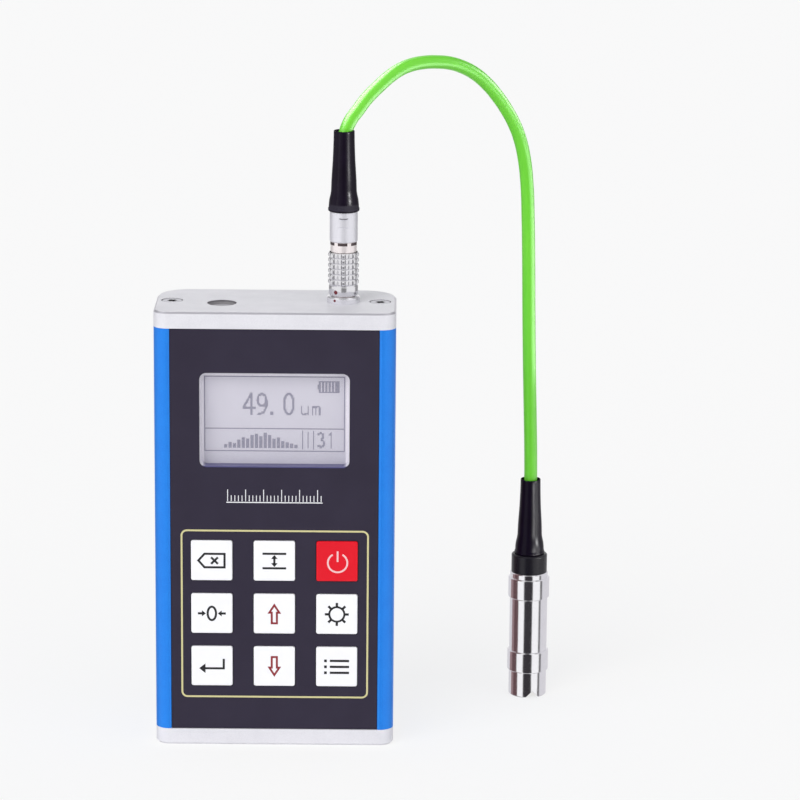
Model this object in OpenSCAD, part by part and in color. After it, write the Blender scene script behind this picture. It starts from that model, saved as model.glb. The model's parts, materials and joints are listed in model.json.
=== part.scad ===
// Hand-held coating thickness gauge with a plug-in probe on a short lead.
// Extruded aluminium case with two machined end caps, a membrane keypad over a
// dot-matrix display, a push-pull connector and a sprung measuring probe.
// Millimetres. +Z up, front face towards -Y, origin at the centre of the base.

/* [Case] */
// Width of the case
case_w = 67; // [66:0.5:80]
// Depth of the case
case_d = 31; // [30.5:0.5:40]
// Height of the case over both end caps
case_h = 125; // [122:0.5:140]
// Corner radius on the front edges
front_r = 4; // [2.5:0.25:4.25]
// Corner radius on the back edges
back_r = 9; // [5:0.5:10]
// Thickness of the side and back walls
wall = 1.8; // [1.4:0.1:2.2]
// Thickness of the wall behind the keypad
front_wall = 1.5; // [1.2:0.1:1.8]
// Thickness of each end cap
cap_t = 4.7; // [4:0.1:6]
// Chamfer round the outer edge of each end cap
cap_chamfer = 0.6; // [0.3:0.1:1.2]
// Depth of the locating pad under each end cap
cap_pad_t = 1.5; // [1:0.1:2]
// Distance of each cap screw in from the side of the case
screw_inset = 4.5; // [4.2:0.1:5]
// Diameter of the cap screws
screw_d = 2.9; // [2.4:0.1:3]
// Length of the cap screws
screw_len = 12; // [9:0.5:16]

/* [Keypad] */
// Width of the rail on each side of the front panel
rail_w = 4.5; // [4.3:0.1:5.2]
// Width of the bevel along the inner edge of each rail
rail_bevel = 0.6; // [0.3:0.05:1]
// How far the panel lies below the rails
panel_inset = 0.3; // [0.1:0.05:0.5]
// Thickness of the printed overlay
overlay_t = 0.5; // [0.4:0.05:0.7]
// Thickness of the spacer under the overlay
spacer_t = 1.3; // [1.25:0.05:1.6]
// Thickness of the circuit film
circuit_t = 0.4; // [0.3:0.05:0.5]
// Side of a key
key_size = 11.55; // [10:0.05:12.2]
// Corner radius of a key
key_r = 0.6; // [0.4:0.1:1.5]
// Key spacing across
key_pitch_x = 17.5; // [16:0.1:18]
// Key spacing up the panel
key_pitch_z = 15.4; // [14.6:0.1:16]
// Height of the middle row of keys
keypad_z = 38.7; // [38:0.1:42]
// How far a key stands proud of the overlay
key_proud = 0.4; // [0.2:0.05:0.6]
// Stroke of a key
key_travel = 0.4; // [0.2:0.05:0.45]

/* [Display] */
// Width of the display window
window_w = 41.6; // [36:0.1:44]
// Height of the display window
window_h = 27; // [24:0.1:29]
// Distance of the window's middle below the top of the case
window_drop = 30.7; // [28:0.1:34]
// Corner radius of the window
window_r = 2; // [1.5:0.1:3]
// Wall of the display bezel
bezel_wall = 1.2; // [0.9:0.1:1.6]
// Thickness of the clear window
lens_t = 1; // [0.8:0.1:1.4]
// Thickness of the display glass
glass_t = 2.2; // [1.6:0.1:2.6]
// Width of the display glass
glass_w = 46; // [45.5:0.5:50]
// Height of the display glass
glass_h = 31.5; // [31:0.5:34]

/* [Power and electronics] */
// Thickness of the main board
board_t = 1.6; // [1:0.1:2]
// Gap between the board and the screw bosses behind it
board_boss_gap = 1; // [0.6:0.1:1.4]
// Depth left free in front of and behind the cells
cell_room = 2; // [1.8:0.1:2.6]
// Length of a cell's can
cell_len = 49; // [48:0.5:50]
// Wall of the cell tray
tray_wall = 1.4; // [1:0.1:1.8]
// Height of the tray's lower end
tray_z = 14; // [13:0.5:18]
// How far the battery cover reaches past the tray on each side
cover_side = 0.3; // [0.2:0.1:1.5]
// How far the battery cover reaches past the top of the tray
cover_end = 0.7; // [0.3:0.1:1.5]
// Gap round the battery cover
cover_gap = 0.15; // [0.1:0.05:0.3]

/* [Connector] */
// Distance of the probe connector in from the cap screw
plug_inset = 10.3; // [10:0.1:12]
// Distance of the data port in from the cap screw
port_inset = 14; // [11:0.1:16]
// Distance of the data port in front of the cap's middle
port_forward = 3; // [0:0.5:4]
// Diameter of the round hole over the data port
port_d = 8.2; // [7.6:0.1:9]
// Bore of the data port
port_bore_d = 3.6; // [3.4:0.1:5]
// Diameter of the socket flange
flange_d = 9.2; // [9:0.1:10]
// Height of the socket flange
flange_t = 1.8; // [1.4:0.1:2.2]
// Diameter of the socket thread
thread_d = 8; // [7.8:0.1:8.4]
// Diameter of the plug nose
nose_d = 6.4; // [6:0.1:6.6]
// Running clearance, on the radius, between parts that slide
slide_gap = 0.1; // [0.08:0.01:0.12]
// Diameter over the knurl of the release sleeve
sleeve_d = 8.6; // [8.5:0.1:9.2]
// Length of the smooth end of the release sleeve
sleeve_smooth = 3; // [2.5:0.1:4.5]
// Length of the knurled part of the release sleeve
knurl_len = 9.1; // [8.4:0.1:9.8]
// Rows of knurling along the sleeve
knurl_rows = 6; // [4:1:7]
// Flutes round the knurl
knurl_flutes = 24; // [18:1:26]
// Stroke of the release sleeve
sleeve_travel = 1.5; // [1:0.1:1.8]
// Length of the bare neck between sleeve and nut
neck_len = 3; // [2.6:0.1:4]
// Diameter of the clamp nut
nut_d = 7.8; // [7.6:0.1:8.4]
// Length of the clamp nut
nut_len = 8.6; // [8:0.1:10]

/* [Lead] */
// Diameter of the lead
lead_d = 3.8; // [3.4:0.1:3.9]
// Rise of the lead's arch over the plug's boot
lead_rise = 17; // [14:0.2:24]
// Length of each strain relief boot
boot_len = 22.4; // [20:0.2:24]
// Diameter of a boot's skirt, above the rim
boot_base_d = 8.4; // [8:0.1:9]
// Diameter of a boot at its mouth
boot_tip_d = 5.9; // [5.8:0.1:6.2]

/* [Probe] */
// Distance of the probe from the middle of the case
probe_x = 73; // [60:0.5:90]
// Distance of the probe behind the middle of the case
probe_y = 34; // [20:0.5:50]
// Diameter of the probe sleeve
probe_d = 11; // [10.8:0.1:12]
// Length of the probe sleeve
probe_len = 37.4; // [36.5:0.1:42]
// Height of a grip band above the sleeve
band_rise = 0.5; // [0.3:0.05:0.8]
// Length of a grip band
band_len = 6.2; // [4:0.1:7]
// Height of the lower grip band
lower_band_z = 7.5; // [6:0.1:9]
// Height of the upper grip band
upper_band_z = 29.7; // [26:0.1:30]
// Bore of the probe sleeve
probe_bore_d = 8.6; // [8.2:0.1:8.8]
// Width of the locating notch across the sleeve's end
notch_w = 4; // [2:0.1:4.4]
// Turn of the locating notch from straight ahead
notch_turn = 14; // [0:1:90]
// Stroke of the measuring tip out of the sleeve
tip_out = 1.5; // [1:0.1:2]
// Stroke of the measuring tip into the sleeve
tip_in = 1; // [0.5:0.1:1.2]
// Diameter of the measuring tip
tip_d = 3; // [2.4:0.1:4]
// Diameter of the black collar
collar_d = 10.4; // [10:0.1:10.8]
// Length of the black collar
collar_len = 5.5; // [5:0.1:8]

/* [Hidden] */
$fn = 96;
eps = 0.01;
fit = 0.15;
snug = 0.03;

// Case
screw_gap = 0.1;
boss_gap = 0.6;
pad_step = 1.4;
body_h = case_h - 2 * cap_t;
front_y = -case_d / 2;
back_y = case_d / 2;
recess = panel_inset + overlay_t + spacer_t + circuit_t;
inner_front_y = front_y + recess + front_wall;
inner_back_y = back_y - wall;
inner_x = case_w / 2 - wall;
screw_x = case_w / 2 - screw_inset;
boss_wall = 1.55;
boss_r = screw_d / 2 + boss_wall;
screw_hole_r = screw_d / 2 + screw_gap;
head_r = screw_d;
head_t = screw_d / 2 + screw_gap;
head_sink = 0.1;
cross_len = 0.8 * head_r;
cross_w = 0.3 * screw_d;
cross_depth = 0.7 * head_t;
screw_turn = 45;
screw_stray = 10;
min_corner_r = 0.5;
through = 1;
pad_w = 2 * (screw_x - boss_r - boss_gap);
pad_front_y = inner_front_y + fit;
pad_back_y = inner_back_y - pad_step;
pad_r = back_r - wall;

// Keypad
overlay_y = front_y + panel_inset;
spacer_y = overlay_y + overlay_t;
circuit_y = spacer_y + spacer_t;
panel_gap = 0.1;
panel_w = case_w - 2 * rail_w;
panel_h = body_h - 2 * panel_gap;
panel_z = cap_t + panel_gap;
key_gap = 0.15;
key_flange = 0.6;
key_flange_t = 0.25;
key_lift = 0.05;
key_flange_y = spacer_y + key_lift;
press_gap = 0.1;
dome_d = 8.4;
dome_h = spacer_t - key_lift - key_flange_t - key_travel - press_gap;
dome_t = 0.15;
dome_steps = 6;
key_names = [
    ["clear", "limit", "power"],
    ["zero", "up", "backlight"],
    ["exit", "down", "menu"],
];

// Display
window_z = case_h - window_drop;
bezel_rim = 0.3;
lens_w = window_w - 2 * bezel_rim;
lens_h = window_h - 2 * bezel_rim;
bezel_w = lens_w + 2 * bezel_wall;
bezel_h = lens_h + 2 * bezel_wall;
bezel_r = window_r - bezel_rim + bezel_wall;
glass_gap = 0.3;
lens_gap = 0.05;
glass_y = inner_front_y + glass_gap;
board_y = -boss_r - board_boss_gap - board_t;
backlight_y = glass_y + glass_t;

// Connector, heights measured from the top of the case
plug_x = screw_x - plug_inset;
port_x = port_inset - screw_x;
port_y = -port_forward;
socket_floor = -7.2;
socket_low = -13;
socket_bore_r = nose_d / 2 + slide_gap;
socket_step = 0.7;
socket_seat_r = socket_bore_r - socket_step;
flange_chamfer = 0.4;
socket_nut_t = 2.2;
socket_nut_rim = 2;
socket_nut_r = thread_d / 2 + socket_nut_rim;
nose_low = -6.8;
nose_wall = 0.65;
nose_chamfer = 0.3;
post_top = -3.2;
pin_circle_r = 1.4;
pin_r = 0.35;
pin_count = 5;
pin_reach = 3.4;
insert_gap = 0.2;
insert_len = 4.8;
pin_hole_len = 4;
sleeve_gap = 0.3;
sleeve_low = flange_t + sleeve_gap;
knurl_low = sleeve_low + sleeve_smooth;
sleeve_top = knurl_low + knurl_len;
nut_low = sleeve_top + neck_len;
nut_top = nut_low + nut_len;
nut_end_t = 4.6;
nut_chamfer = 0.2;
nut_floor = nut_top - nut_end_t;
spanner_w = 2.4;
spanner_drop = 3.1;
spanner_cut = 0.4;
boot_low = case_h + nut_top;
neck_step = 0.5;
shoulder_step = 0.2;
waist_step = 0.3;
neck_r = nose_d / 2 + neck_step;
shoulder_r = nose_d / 2 + shoulder_step;
waist_r = nose_d / 2 - waist_step;
sleeve_bore_r = shoulder_r + fit;
sleeve_counterbore_r = neck_r + fit;
sleeve_step_z = knurl_low + shoulder_step;
shoulder_len = 1.9;
shoulder_low = sleeve_top - shoulder_len;
neck_low = sleeve_top + shoulder_step;
sleeve_wire = 0.4;
sleeve_spring_turns = 6;
wire_bore_r = 2.2;
knurl_cut = 0.24;
knurl_margin = 0.5;
knurl_rise = 0.2;
sleeve_chamfer = 0.3;
knurl_chamfer = 0.15;
stem_r = 2.6;
stem_len = 4.6;
stem_gap = 0.05;
boot_bore_r = lead_d / 2 + fit;
boot_edge = 0.25;
boot_rim = 0.15;
boot_rim_len = 0.9;
tip_edge = 0.1;
mouth_lip = 0.15;
mouth_len = 4;
// Outline of a boot above its rim: shares of its length and of its flare
boot_form = [
    [0.05, 1], [0.13, 0.94], [0.19, 0.8], [0.25, 0.6], [0.31, 0.47],
    [0.38, 0.45], [0.52, 0.36], [0.66, 0.25], [0.8, 0.12],
];
port_len = 10;
port_wall = 1.1;
port_gap = 0.1;
port_sink = 1.2;
port_depth = 5;
port_body_r = port_d / 2 - port_gap;
port_contact_r = 0.4;
port_contact_depth = 2;
port_contact_count = 4;

// Electronics and cells
groove_gap = 0.1;
groove_lip = 1.2;
groove_depth = 2;
board_gap = 0.4;
buzzer_inset = 13.3;
board_w = 2 * (inner_x - board_gap);
board_end_gap = 2;
board_low = cap_t + cap_pad_t + board_end_gap;
board_top = case_h + socket_low - board_end_gap / 2;
board_back_y = board_y + board_t;
chip_w = 10;
chip_t = 1.4;
buzzer_d = 9;
buzzer_h = 4.5;
buzzer_hole_d = 1.6;
buzzer_hole_depth = 1;
buzzer_x = buzzer_inset - board_w / 2;
tray_floor = 1.4;
cell_d = inner_back_y - board_back_y - tray_floor - cell_room;
cell_gap = 0.5;
cell_pitch = cell_d + cell_gap;
cell_lift = 0.1;
cell_y = board_back_y + tray_floor + cell_d / 2 + cell_lift;
tray_w = 2 * cell_d + 2 * cell_gap + 2 * tray_wall;
nub_len = 1.3;
nub_d = 5.3;
contact_t = 0.5;
contact_w = 8;
cell_spring_len = 3.2;
cell_spring_r = 3;
cell_spring_wire = 0.6;
cell_spring_turns = 3;
// Pitch of a spring's closed end turns, in wire diameters
end_pitch = 1.1;
coil_steps = 16;
coil_sides = 6;
cell_bay = cell_len + nub_len + contact_t + cell_spring_len;
tray_h = cell_bay + 2 * tray_wall;
cell_low_z = tray_z + tray_wall;
tab_w = 6;
tab_len = 2;
tab_root = 3;
tab_t = 1;
tab_gap = 0.1;
tab_room = 4.5;
tray_back_y = inner_back_y - tab_t - 2 * tab_gap;
cover_z = tray_z - tab_room;
cover_w = tray_w + 2 * cover_side;
cover_h = tray_h + tab_room + cover_end;
cover_r = 2.5;
tab_x = cover_w / 2 - tab_w - cover_r;
grip_count = 5;
grip_pitch = 2.2;
grip_depth = 0.5;
grip_w = 16;
grip_top = 6;

// Probe
probe_r = probe_d / 2;
probe_bore_r = probe_bore_d / 2;
core_r = probe_bore_r - slide_gap;
throat_step = 0.7;
throat_r = probe_bore_r - throat_step;
throat_h = 4;
core_nose_r = throat_r - slide_gap;
core_step_z = throat_h + tip_out;
core_len = 14.5;
core_top_z = core_step_z + core_len;
core_stem_r = 1.9;
core_stem_len = 8;
core_stem_top = core_top_z + core_stem_len;
stop_gap = 1.2;
spigot_low = core_stem_top + tip_in + stop_gap;
spigot_r = probe_bore_r - snug;
collar_top = probe_len + collar_len;
tip_ball_r = 3;
tip_root = 4;
tip_len = throat_h + tip_root;
spring_wire = 0.6;
spring_turns = 7;
collar_bore_gap = 0.3;
collar_chamfer = 0.4;
probe_edge = 0.25;
core_edge = 0.4;

// Lead: its centre line runs from inside the plug's boot, over the arch and
// down into the probe's boot. A point of the arch has its per cent of the way
// across and of the rise, a point of the drop its per cent of the way down.
lead_arch = [
    [0, -75], [0, -48], [0, -27], [0.2, -13], [0.9, -1], [2.3, 10.5], [4.3, 21], [7.1, 32],
    [10.2, 45], [13.8, 57], [18, 69], [23, 82], [28, 91.5], [33.5, 97.5], [40, 100], [47, 99],
    [54, 95], [60, 87.5], [66.5, 75], [73, 56], [79.5, 30], [84.5, 5],
];
lead_drop = [
    [88, 2.6], [91, 6.5], [93.6, 12], [95.3, 19], [96.2, 28], [96.9, 40], [97.5, 54],
    [98.3, 69], [99.2, 83], [99.8, 93], [100, 100], [100, 111],
];
plug_mouth_z = boot_low + boot_len;
probe_mouth_z = collar_top + boot_len;
function lead_point(across, z) = [plug_x + across / 100 * (probe_x - plug_x), across / 100 * probe_y, z];
lead_route = concat(
    [for (p = lead_arch) lead_point(p[0], plug_mouth_z + p[1] / 100 * lead_rise)],
    [for (p = lead_drop) lead_point(p[0], plug_mouth_z - p[1] / 100 * (plug_mouth_z - probe_mouth_z))]
);
// Normal of the upright plane that the lead lies in
lead_plane = [-probe_y, probe_x - plug_x, 0];
lead_sides = 8;
lead_steps = 2;

// Rounded rectangle with its own front and back radii, seen from above.
module case_outline(inset) {
    half_w = case_w / 2 - inset;
    half_d = case_d / 2 - inset;
    rf = max(front_r - inset, min_corner_r);
    rb = max(back_r - inset, min_corner_r);
    polygon([
        [-half_w, -half_d + rf], [-half_w + rf, -half_d], [half_w - rf, -half_d], [half_w, -half_d + rf],
        [half_w, half_d - rb], [half_w - rb, half_d], [-half_w + rb, half_d], [-half_w, half_d - rb],
    ]);
    for (side = [-1, 1]) {
        translate([side * (half_w - rf), -half_d + rf]) circle(rf);
        translate([side * (half_w - rb), half_d - rb]) circle(rb);
    }
}

// Rectangle with equal corner radii, centred.
module round_rect(w, h, r) {
    square([w - 2 * r, h], center = true);
    square([w, h - 2 * r], center = true);
    for (x = [-1, 1], y = [-1, 1]) translate([x * (w / 2 - r), y * (h / 2 - r)]) circle(r);
}

// A sheet that stands in the X-Z plane, its front face at y and its body behind.
module sheet(y, t) {
    translate([0, y + t, 0]) rotate([90, 0, 0]) linear_extrude(t) children();
}

// A solid of revolution about a vertical axis at x, y.
module turned(x, y, z, profile) {
    translate([x, y, z]) rotate_extrude() polygon(profile);
}

function key_x(column) = (column - 1) * key_pitch_x;
function key_z(row) = keypad_z + (1 - row) * key_pitch_z;

module at_keys() {
    for (row = [0:2], column = [0:2]) translate([key_x(column), key_z(row)]) children();
}

// Wire swept along a list of points, one ring to a point. The normal is a
// direction that the path never runs along, and keeps the rings from twisting.
function unit(v) = v / norm(v);
function tangent(points, i) =
    unit(points[min(i + 1, len(points) - 1)] - points[max(i - 1, 0)]);
function ring(points, i, r, sides, normal) =
    let (t = tangent(points, i), a = unit(cross(t, normal)), b = cross(t, a))
    [for (k = [0:sides - 1]) points[i] + r * (cos(360 * k / sides) * a + sin(360 * k / sides) * b)];

module swept(points, r, sides, normal) {
    last = len(points) - 1;
    rings = [for (i = [0:last]) each ring(points, i, r, sides, normal)];
    walls = [for (i = [0:last - 1], k = [0:sides - 1])
        let (n = (k + 1) % sides)
        [i * sides + n, i * sides + k, (i + 1) * sides + k, (i + 1) * sides + n]];
    ends = [[for (k = [0:sides - 1]) k], [for (k = [sides - 1:-1:0]) last * sides + k]];
    polyhedron(rings, concat(walls, ends), convexity = 6);
}

// Helix with closed end turns, standing on z = 0.
function coil_z(s, length, wire, turns) =
    let (end_rise = end_pitch * wire, rise = (length - wire - 2 * end_rise) / (turns - 2))
    s < 1 ? wire / 2 + s * end_rise
        : s > turns - 1 ? length - wire / 2 - (turns - s) * end_rise
        : wire / 2 + end_rise + (s - 1) * rise;

module coil_spring(length, coil_r, wire, turns) {
    swept([for (i = [0:turns * coil_steps])
        let (s = i / coil_steps)
        [coil_r * cos(360 * s), coil_r * sin(360 * s), coil_z(s, length, wire, turns)]],
        wire / 2, coil_sides, [0, 0, 1]);
}

// Case

module shell_section() {
    difference() {
        union() {
            difference() {
                case_outline(0);
                intersection() {
                    case_outline(wall);
                    translate([-case_w / 2, inner_front_y]) square([case_w, case_d]);
                }
            }
            for (side = [-1, 1]) {
                intersection() {
                    case_outline(wall / 2);
                    translate([side * screw_x, 0]) circle(boss_r);
                }
                board_groove(side);
            }
        }
        for (side = [-1, 1]) translate([side * screw_x, 0]) circle(screw_hole_r);
        translate([-panel_w / 2, front_y - eps]) square([panel_w, recess + eps]);
        polygon([
            [-panel_w / 2 - rail_bevel, front_y], [0, front_y - eps], [panel_w / 2 + rail_bevel, front_y],
            [panel_w / 2, overlay_y], [-panel_w / 2, overlay_y],
        ]);
    }
}

// Two ribs on a side wall that hold the edge of the main board.
module board_groove(side) {
    for (y = [board_y - groove_gap - groove_lip, board_back_y + groove_gap])
        translate([side * (inner_x + wall / 2 - (groove_depth + wall / 2) / 2), y + groove_lip / 2])
            square([groove_depth + wall / 2, groove_lip], center = true);
}

module case_shell() {
    color("dodgerblue") difference() {
        translate([0, 0, cap_t]) linear_extrude(body_h) shell_section();
        translate([0, 0, window_z]) sheet(front_y, recess + front_wall + through)
            round_rect(bezel_w + 2 * fit, bezel_h + 2 * fit, bezel_r + fit);
        translate([0, 0, cover_z + cover_h / 2]) sheet(back_y - wall - through, wall + 2 * through)
            round_rect(cover_w, cover_h, cover_r);
    }
}

// Plate with a chamfered rim on its upper side, built from prisms and cones.
module cap_plate(t, c) {
    linear_extrude(t - c) case_outline(0);
    translate([0, 0, t - c]) {
        linear_extrude(c) case_outline(c);
        for (side = [-1, 1]) {
            translate([side * (case_w / 2 - front_r), front_y + front_r])
                cylinder(h = c, r1 = front_r, r2 = front_r - c);
            translate([side * (case_w / 2 - back_r), back_y - back_r])
                cylinder(h = c, r1 = back_r, r2 = back_r - c);
            rim_prism(side * case_w / 2, front_y + front_r, back_y - back_r, c, side);
        }
        rotate([0, 0, -90]) rim_prism(case_d / 2, -case_w / 2 + front_r, case_w / 2 - front_r, c, 1);
        rotate([0, 0, 90]) rim_prism(case_d / 2, -case_w / 2 + back_r, case_w / 2 - back_r, c, 1);
    }
}

// Sloping strip along Y, from the outline at x up to the chamfer's top edge.
module rim_prism(x, y0, y1, c, side) {
    translate([x, y1, 0]) rotate([90, 0, 0]) linear_extrude(y1 - y0)
        polygon([[0, 0], [-side * 2 * c, 0], [-side * 2 * c, c], [-side * c, c]]);
}

module cap_blank() {
    difference() {
        union() {
            cap_plate(cap_t, cap_chamfer);
            translate([0, (pad_front_y + pad_back_y) / 2, -cap_pad_t]) linear_extrude(cap_pad_t + eps)
                round_rect(pad_w, pad_back_y - pad_front_y, pad_r / 2);
        }
        for (side = [-1, 1]) translate([side * screw_x, 0, -eps]) {
            cylinder(h = cap_t + through, r = screw_hole_r);
            translate([0, 0, cap_t - head_sink - head_t])
                cylinder(h = head_t + eps, r1 = screw_hole_r, r2 = head_r + fit);
            translate([0, 0, cap_t - head_sink]) cylinder(h = head_sink + through, r = head_r + fit);
        }
    }
}

module top_cap() {
    color("gainsboro") translate([0, 0, case_h - cap_t]) difference() {
        cap_blank();
        translate([plug_x, 0, -cap_pad_t - through])
            cylinder(h = cap_t + cap_pad_t + 2 * through, r = thread_d / 2 + fit);
        translate([port_x, port_y, -cap_pad_t - through])
            cylinder(h = cap_t + cap_pad_t + 2 * through, d = port_d);
    }
}

module bottom_cap() {
    color("gainsboro") translate([0, 0, cap_t]) mirror([0, 0, 1]) cap_blank();
}

// Countersunk screw with a cross recess, its head up and its face at z = 0.
module cap_screw() {
    difference() {
        union() {
            translate([0, 0, -head_t]) cylinder(h = head_t, r1 = screw_d / 2, r2 = head_r);
            translate([0, 0, -screw_len]) cylinder(h = screw_len - head_t + eps, d = screw_d);
        }
        for (turn = [0, 90]) rotate([0, 0, turn])
            translate([-cross_len / 2, -cross_w / 2, -cross_depth]) cube([cross_len, cross_w, head_t]);
    }
}

module top_cap_screws() {
    color("dimgray") for (side = [-1, 1])
        translate([side * screw_x, 0, case_h - head_sink]) rotate([0, 0, screw_turn + screw_stray * side])
            cap_screw();
}

module bottom_cap_screws() {
    color("dimgray") for (side = [-1, 1])
        translate([side * screw_x, 0, head_sink]) mirror([0, 0, 1]) cap_screw();
}

// Keypad

module panel_blank() {
    translate([0, panel_z + panel_h / 2]) square([panel_w - 2 * panel_gap, panel_h], center = true);
}

module front_overlay() {
    color([0.2, 0.19, 0.25]) sheet(overlay_y, overlay_t) difference() {
        panel_blank();
        translate([0, window_z]) round_rect(window_w, window_h, window_r);
        at_keys() round_rect(key_size + 2 * key_gap, key_size + 2 * key_gap, key_r + key_gap);
    }
}

module key_spacer() {
    pocket = key_size + 2 * key_flange + 2 * key_gap;
    color("dimgray") sheet(spacer_y, spacer_t) difference() {
        panel_blank();
        translate([0, window_z]) round_rect(bezel_w + 2 * fit, bezel_h + 2 * fit, bezel_r + fit);
        at_keys() square(pocket, center = true);
    }
}

module key_circuit() {
    color("darkgreen") sheet(circuit_y, circuit_t) difference() {
        panel_blank();
        translate([0, window_z]) round_rect(bezel_w + 2 * fit, bezel_h + 2 * fit, bezel_r + fit);
    }
}

// Snap dome with its rim on the circuit film, bulging towards the key.
module dome() {
    dome_r = dome_d / 2;
    arc = [for (i = [0:dome_steps]) [dome_r * i / dome_steps, 1 - pow(i / dome_steps, 2)]];
    rotate([90, 0, 0]) rotate_extrude() polygon(concat(
        [for (p = arc) [p[0], dome_t + (dome_h - dome_t) * p[1]]],
        [for (i = [dome_steps:-1:0]) [arc[i][0], (dome_h - dome_t) * arc[i][1]]]));
}

module key_domes() {
    color("silver") for (row = [0:2], column = [0:2])
        translate([key_x(column), circuit_y, key_z(row)]) dome();
}

module key_cap(row, column) {
    translate([key_x(column), 0, key_z(row)]) {
        sheet(overlay_y - key_proud, overlay_t + key_proud + key_flange_y - spacer_y + eps)
            round_rect(key_size, key_size, key_r);
        sheet(key_flange_y, key_flange_t) square(key_size + 2 * key_flange, center = true);
    }
}

// Draws the key that has the given name, where its row and column put it.
module named_key(name, shade) {
    color(shade) for (row = [0:2], column = [0:2])
        if (key_names[row][column] == name) key_cap(row, column);
}

// Display

module lcd_bezel() {
    color("lavender") translate([0, 0, window_z]) sheet(spacer_y + lens_gap, glass_y - spacer_y - lens_gap)
        difference() {
            round_rect(bezel_w, bezel_h, bezel_r);
            round_rect(lens_w, lens_h, window_r - bezel_rim);
        }
}

module lcd_window() {
    color([0.9, 0.92, 0.95, 0.3]) translate([0, 0, window_z]) sheet(glass_y - lens_t - lens_gap, lens_t)
        round_rect(lens_w - 2 * lens_gap, lens_h - 2 * lens_gap, window_r - bezel_rim);
}

module lcd_glass() {
    color("lightgray") translate([0, 0, window_z]) sheet(glass_y, glass_t)
        square([glass_w, glass_h], center = true);
}

module lcd_backlight() {
    color("white") translate([0, 0, window_z]) sheet(backlight_y, board_y - backlight_y)
        square([glass_w, glass_h], center = true);
}

// Electronics and cells

module main_board() {
    color("green") sheet(board_y, board_t) translate([0, (board_low + board_top) / 2])
        square([board_w, board_top - board_low], center = true);
}

module processor_chip() {
    color("black") translate([-chip_w / 2, board_back_y, window_z - chip_w / 2])
        cube([chip_w, chip_t, chip_w]);
}

module buzzer() {
    color("black") translate([buzzer_x, board_back_y, window_z]) rotate([-90, 0, 0]) difference() {
        cylinder(h = buzzer_h, d = buzzer_d);
        translate([0, 0, buzzer_h - buzzer_hole_depth])
            cylinder(h = buzzer_hole_depth + through, d = buzzer_hole_d);
    }
}

module battery_tray() {
    color("dimgray") difference() {
        translate([-tray_w / 2, board_back_y, tray_z])
            cube([tray_w, tray_back_y - board_back_y, tray_h]);
        translate([-tray_w / 2 + tray_wall, board_back_y + tray_floor, tray_z + tray_wall])
            cube([tray_w - 2 * tray_wall, case_d, tray_h - 2 * tray_wall]);
    }
}

module at_cells() {
    for (side = [-1, 1]) translate([side * cell_pitch / 2, cell_y, cell_low_z])
        if (side > 0) children();
        else translate([0, 0, cell_bay]) mirror([0, 0, 1]) children();
}

module battery_cells() {
    color("orange") at_cells() translate([0, 0, cell_spring_len]) {
        cylinder(h = cell_len, d = cell_d);
        cylinder(h = cell_len + nub_len, d = nub_d);
    }
}

module battery_springs() {
    color("silver") at_cells()
        coil_spring(cell_spring_len, cell_spring_r, cell_spring_wire, cell_spring_turns);
}

module battery_contacts() {
    color("gold") at_cells() translate([-contact_w / 2, -contact_w / 2, cell_bay - contact_t])
        cube([contact_w, contact_w, contact_t]);
}

module battery_cover() {
    w = cover_w - 2 * cover_gap;
    h = cover_h - 2 * cover_gap;
    color([0.12, 0.12, 0.14]) translate([0, 0, cover_z + cover_h / 2]) difference() {
        union() {
            sheet(inner_back_y, wall) round_rect(w, h, cover_r - cover_gap);
            for (side = [-1, 1])
                translate([side * tab_x - tab_w / 2, inner_back_y - tab_t - tab_gap, -h / 2]) {
                    translate([0, 0, -tab_len]) cube([tab_w, tab_t, tab_len + tab_root]);
                    translate([0, 0, tab_gap]) cube([tab_w, tab_t + tab_gap + eps, tab_root - tab_gap]);
                }
        }
        for (i = [0:grip_count - 1])
            translate([-grip_w / 2, back_y - grip_depth, h / 2 - grip_top - i * grip_pitch])
                cube([grip_w, grip_depth + through, grip_pitch / 2]);
    }
}

// Connector

module data_port() {
    top = case_h - port_sink;
    low = top - port_len;
    pad_low = case_h - cap_t - cap_pad_t;
    color([0.2, 0.2, 0.21]) translate([port_x, port_y, 0]) difference() {
        union() {
            translate([0, 0, low]) cylinder(h = port_len, r = port_body_r);
            translate([0, 0, low]) cylinder(h = pad_low - low, r = port_body_r + port_wall);
        }
        translate([0, 0, top - port_depth]) cylinder(h = port_depth + through, d = port_bore_d);
        for (i = [0:port_contact_count - 1]) rotate([0, 0, 360 * (i + 0.5) / port_contact_count])
            translate([port_bore_d / 4, 0, top - port_depth - port_contact_depth])
                cylinder(h = port_contact_depth + through, r = port_contact_r);
    }
}

module probe_socket() {
    color("silver") turned(plug_x, 0, case_h, [
        [socket_seat_r, socket_low], [thread_d / 2, socket_low], [thread_d / 2, 0], [flange_d / 2, 0],
        [flange_d / 2, flange_t - flange_chamfer], [flange_d / 2 - flange_chamfer, flange_t],
        [socket_bore_r, flange_t],
        [socket_bore_r, socket_floor], [socket_seat_r, socket_floor],
    ]);
}

module socket_insert() {
    post_r = nose_d / 2 - nose_wall - slide_gap;
    seat_r = socket_seat_r - snug;
    color("ivory") difference() {
        turned(plug_x, 0, case_h, [
            [0, socket_low], [seat_r, socket_low], [seat_r, socket_floor],
            [post_r, socket_floor], [post_r, post_top], [0, post_top],
        ]);
        at_pins() translate([0, 0, post_top - pin_hole_len])
            cylinder(h = pin_hole_len + through, r = pin_r + slide_gap);
    }
}

module at_pins() {
    for (i = [0:pin_count - 1]) translate([plug_x, 0, case_h]) rotate([0, 0, 360 * (i + 0.5) / pin_count])
        translate([pin_circle_r, 0]) children();
}

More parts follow.
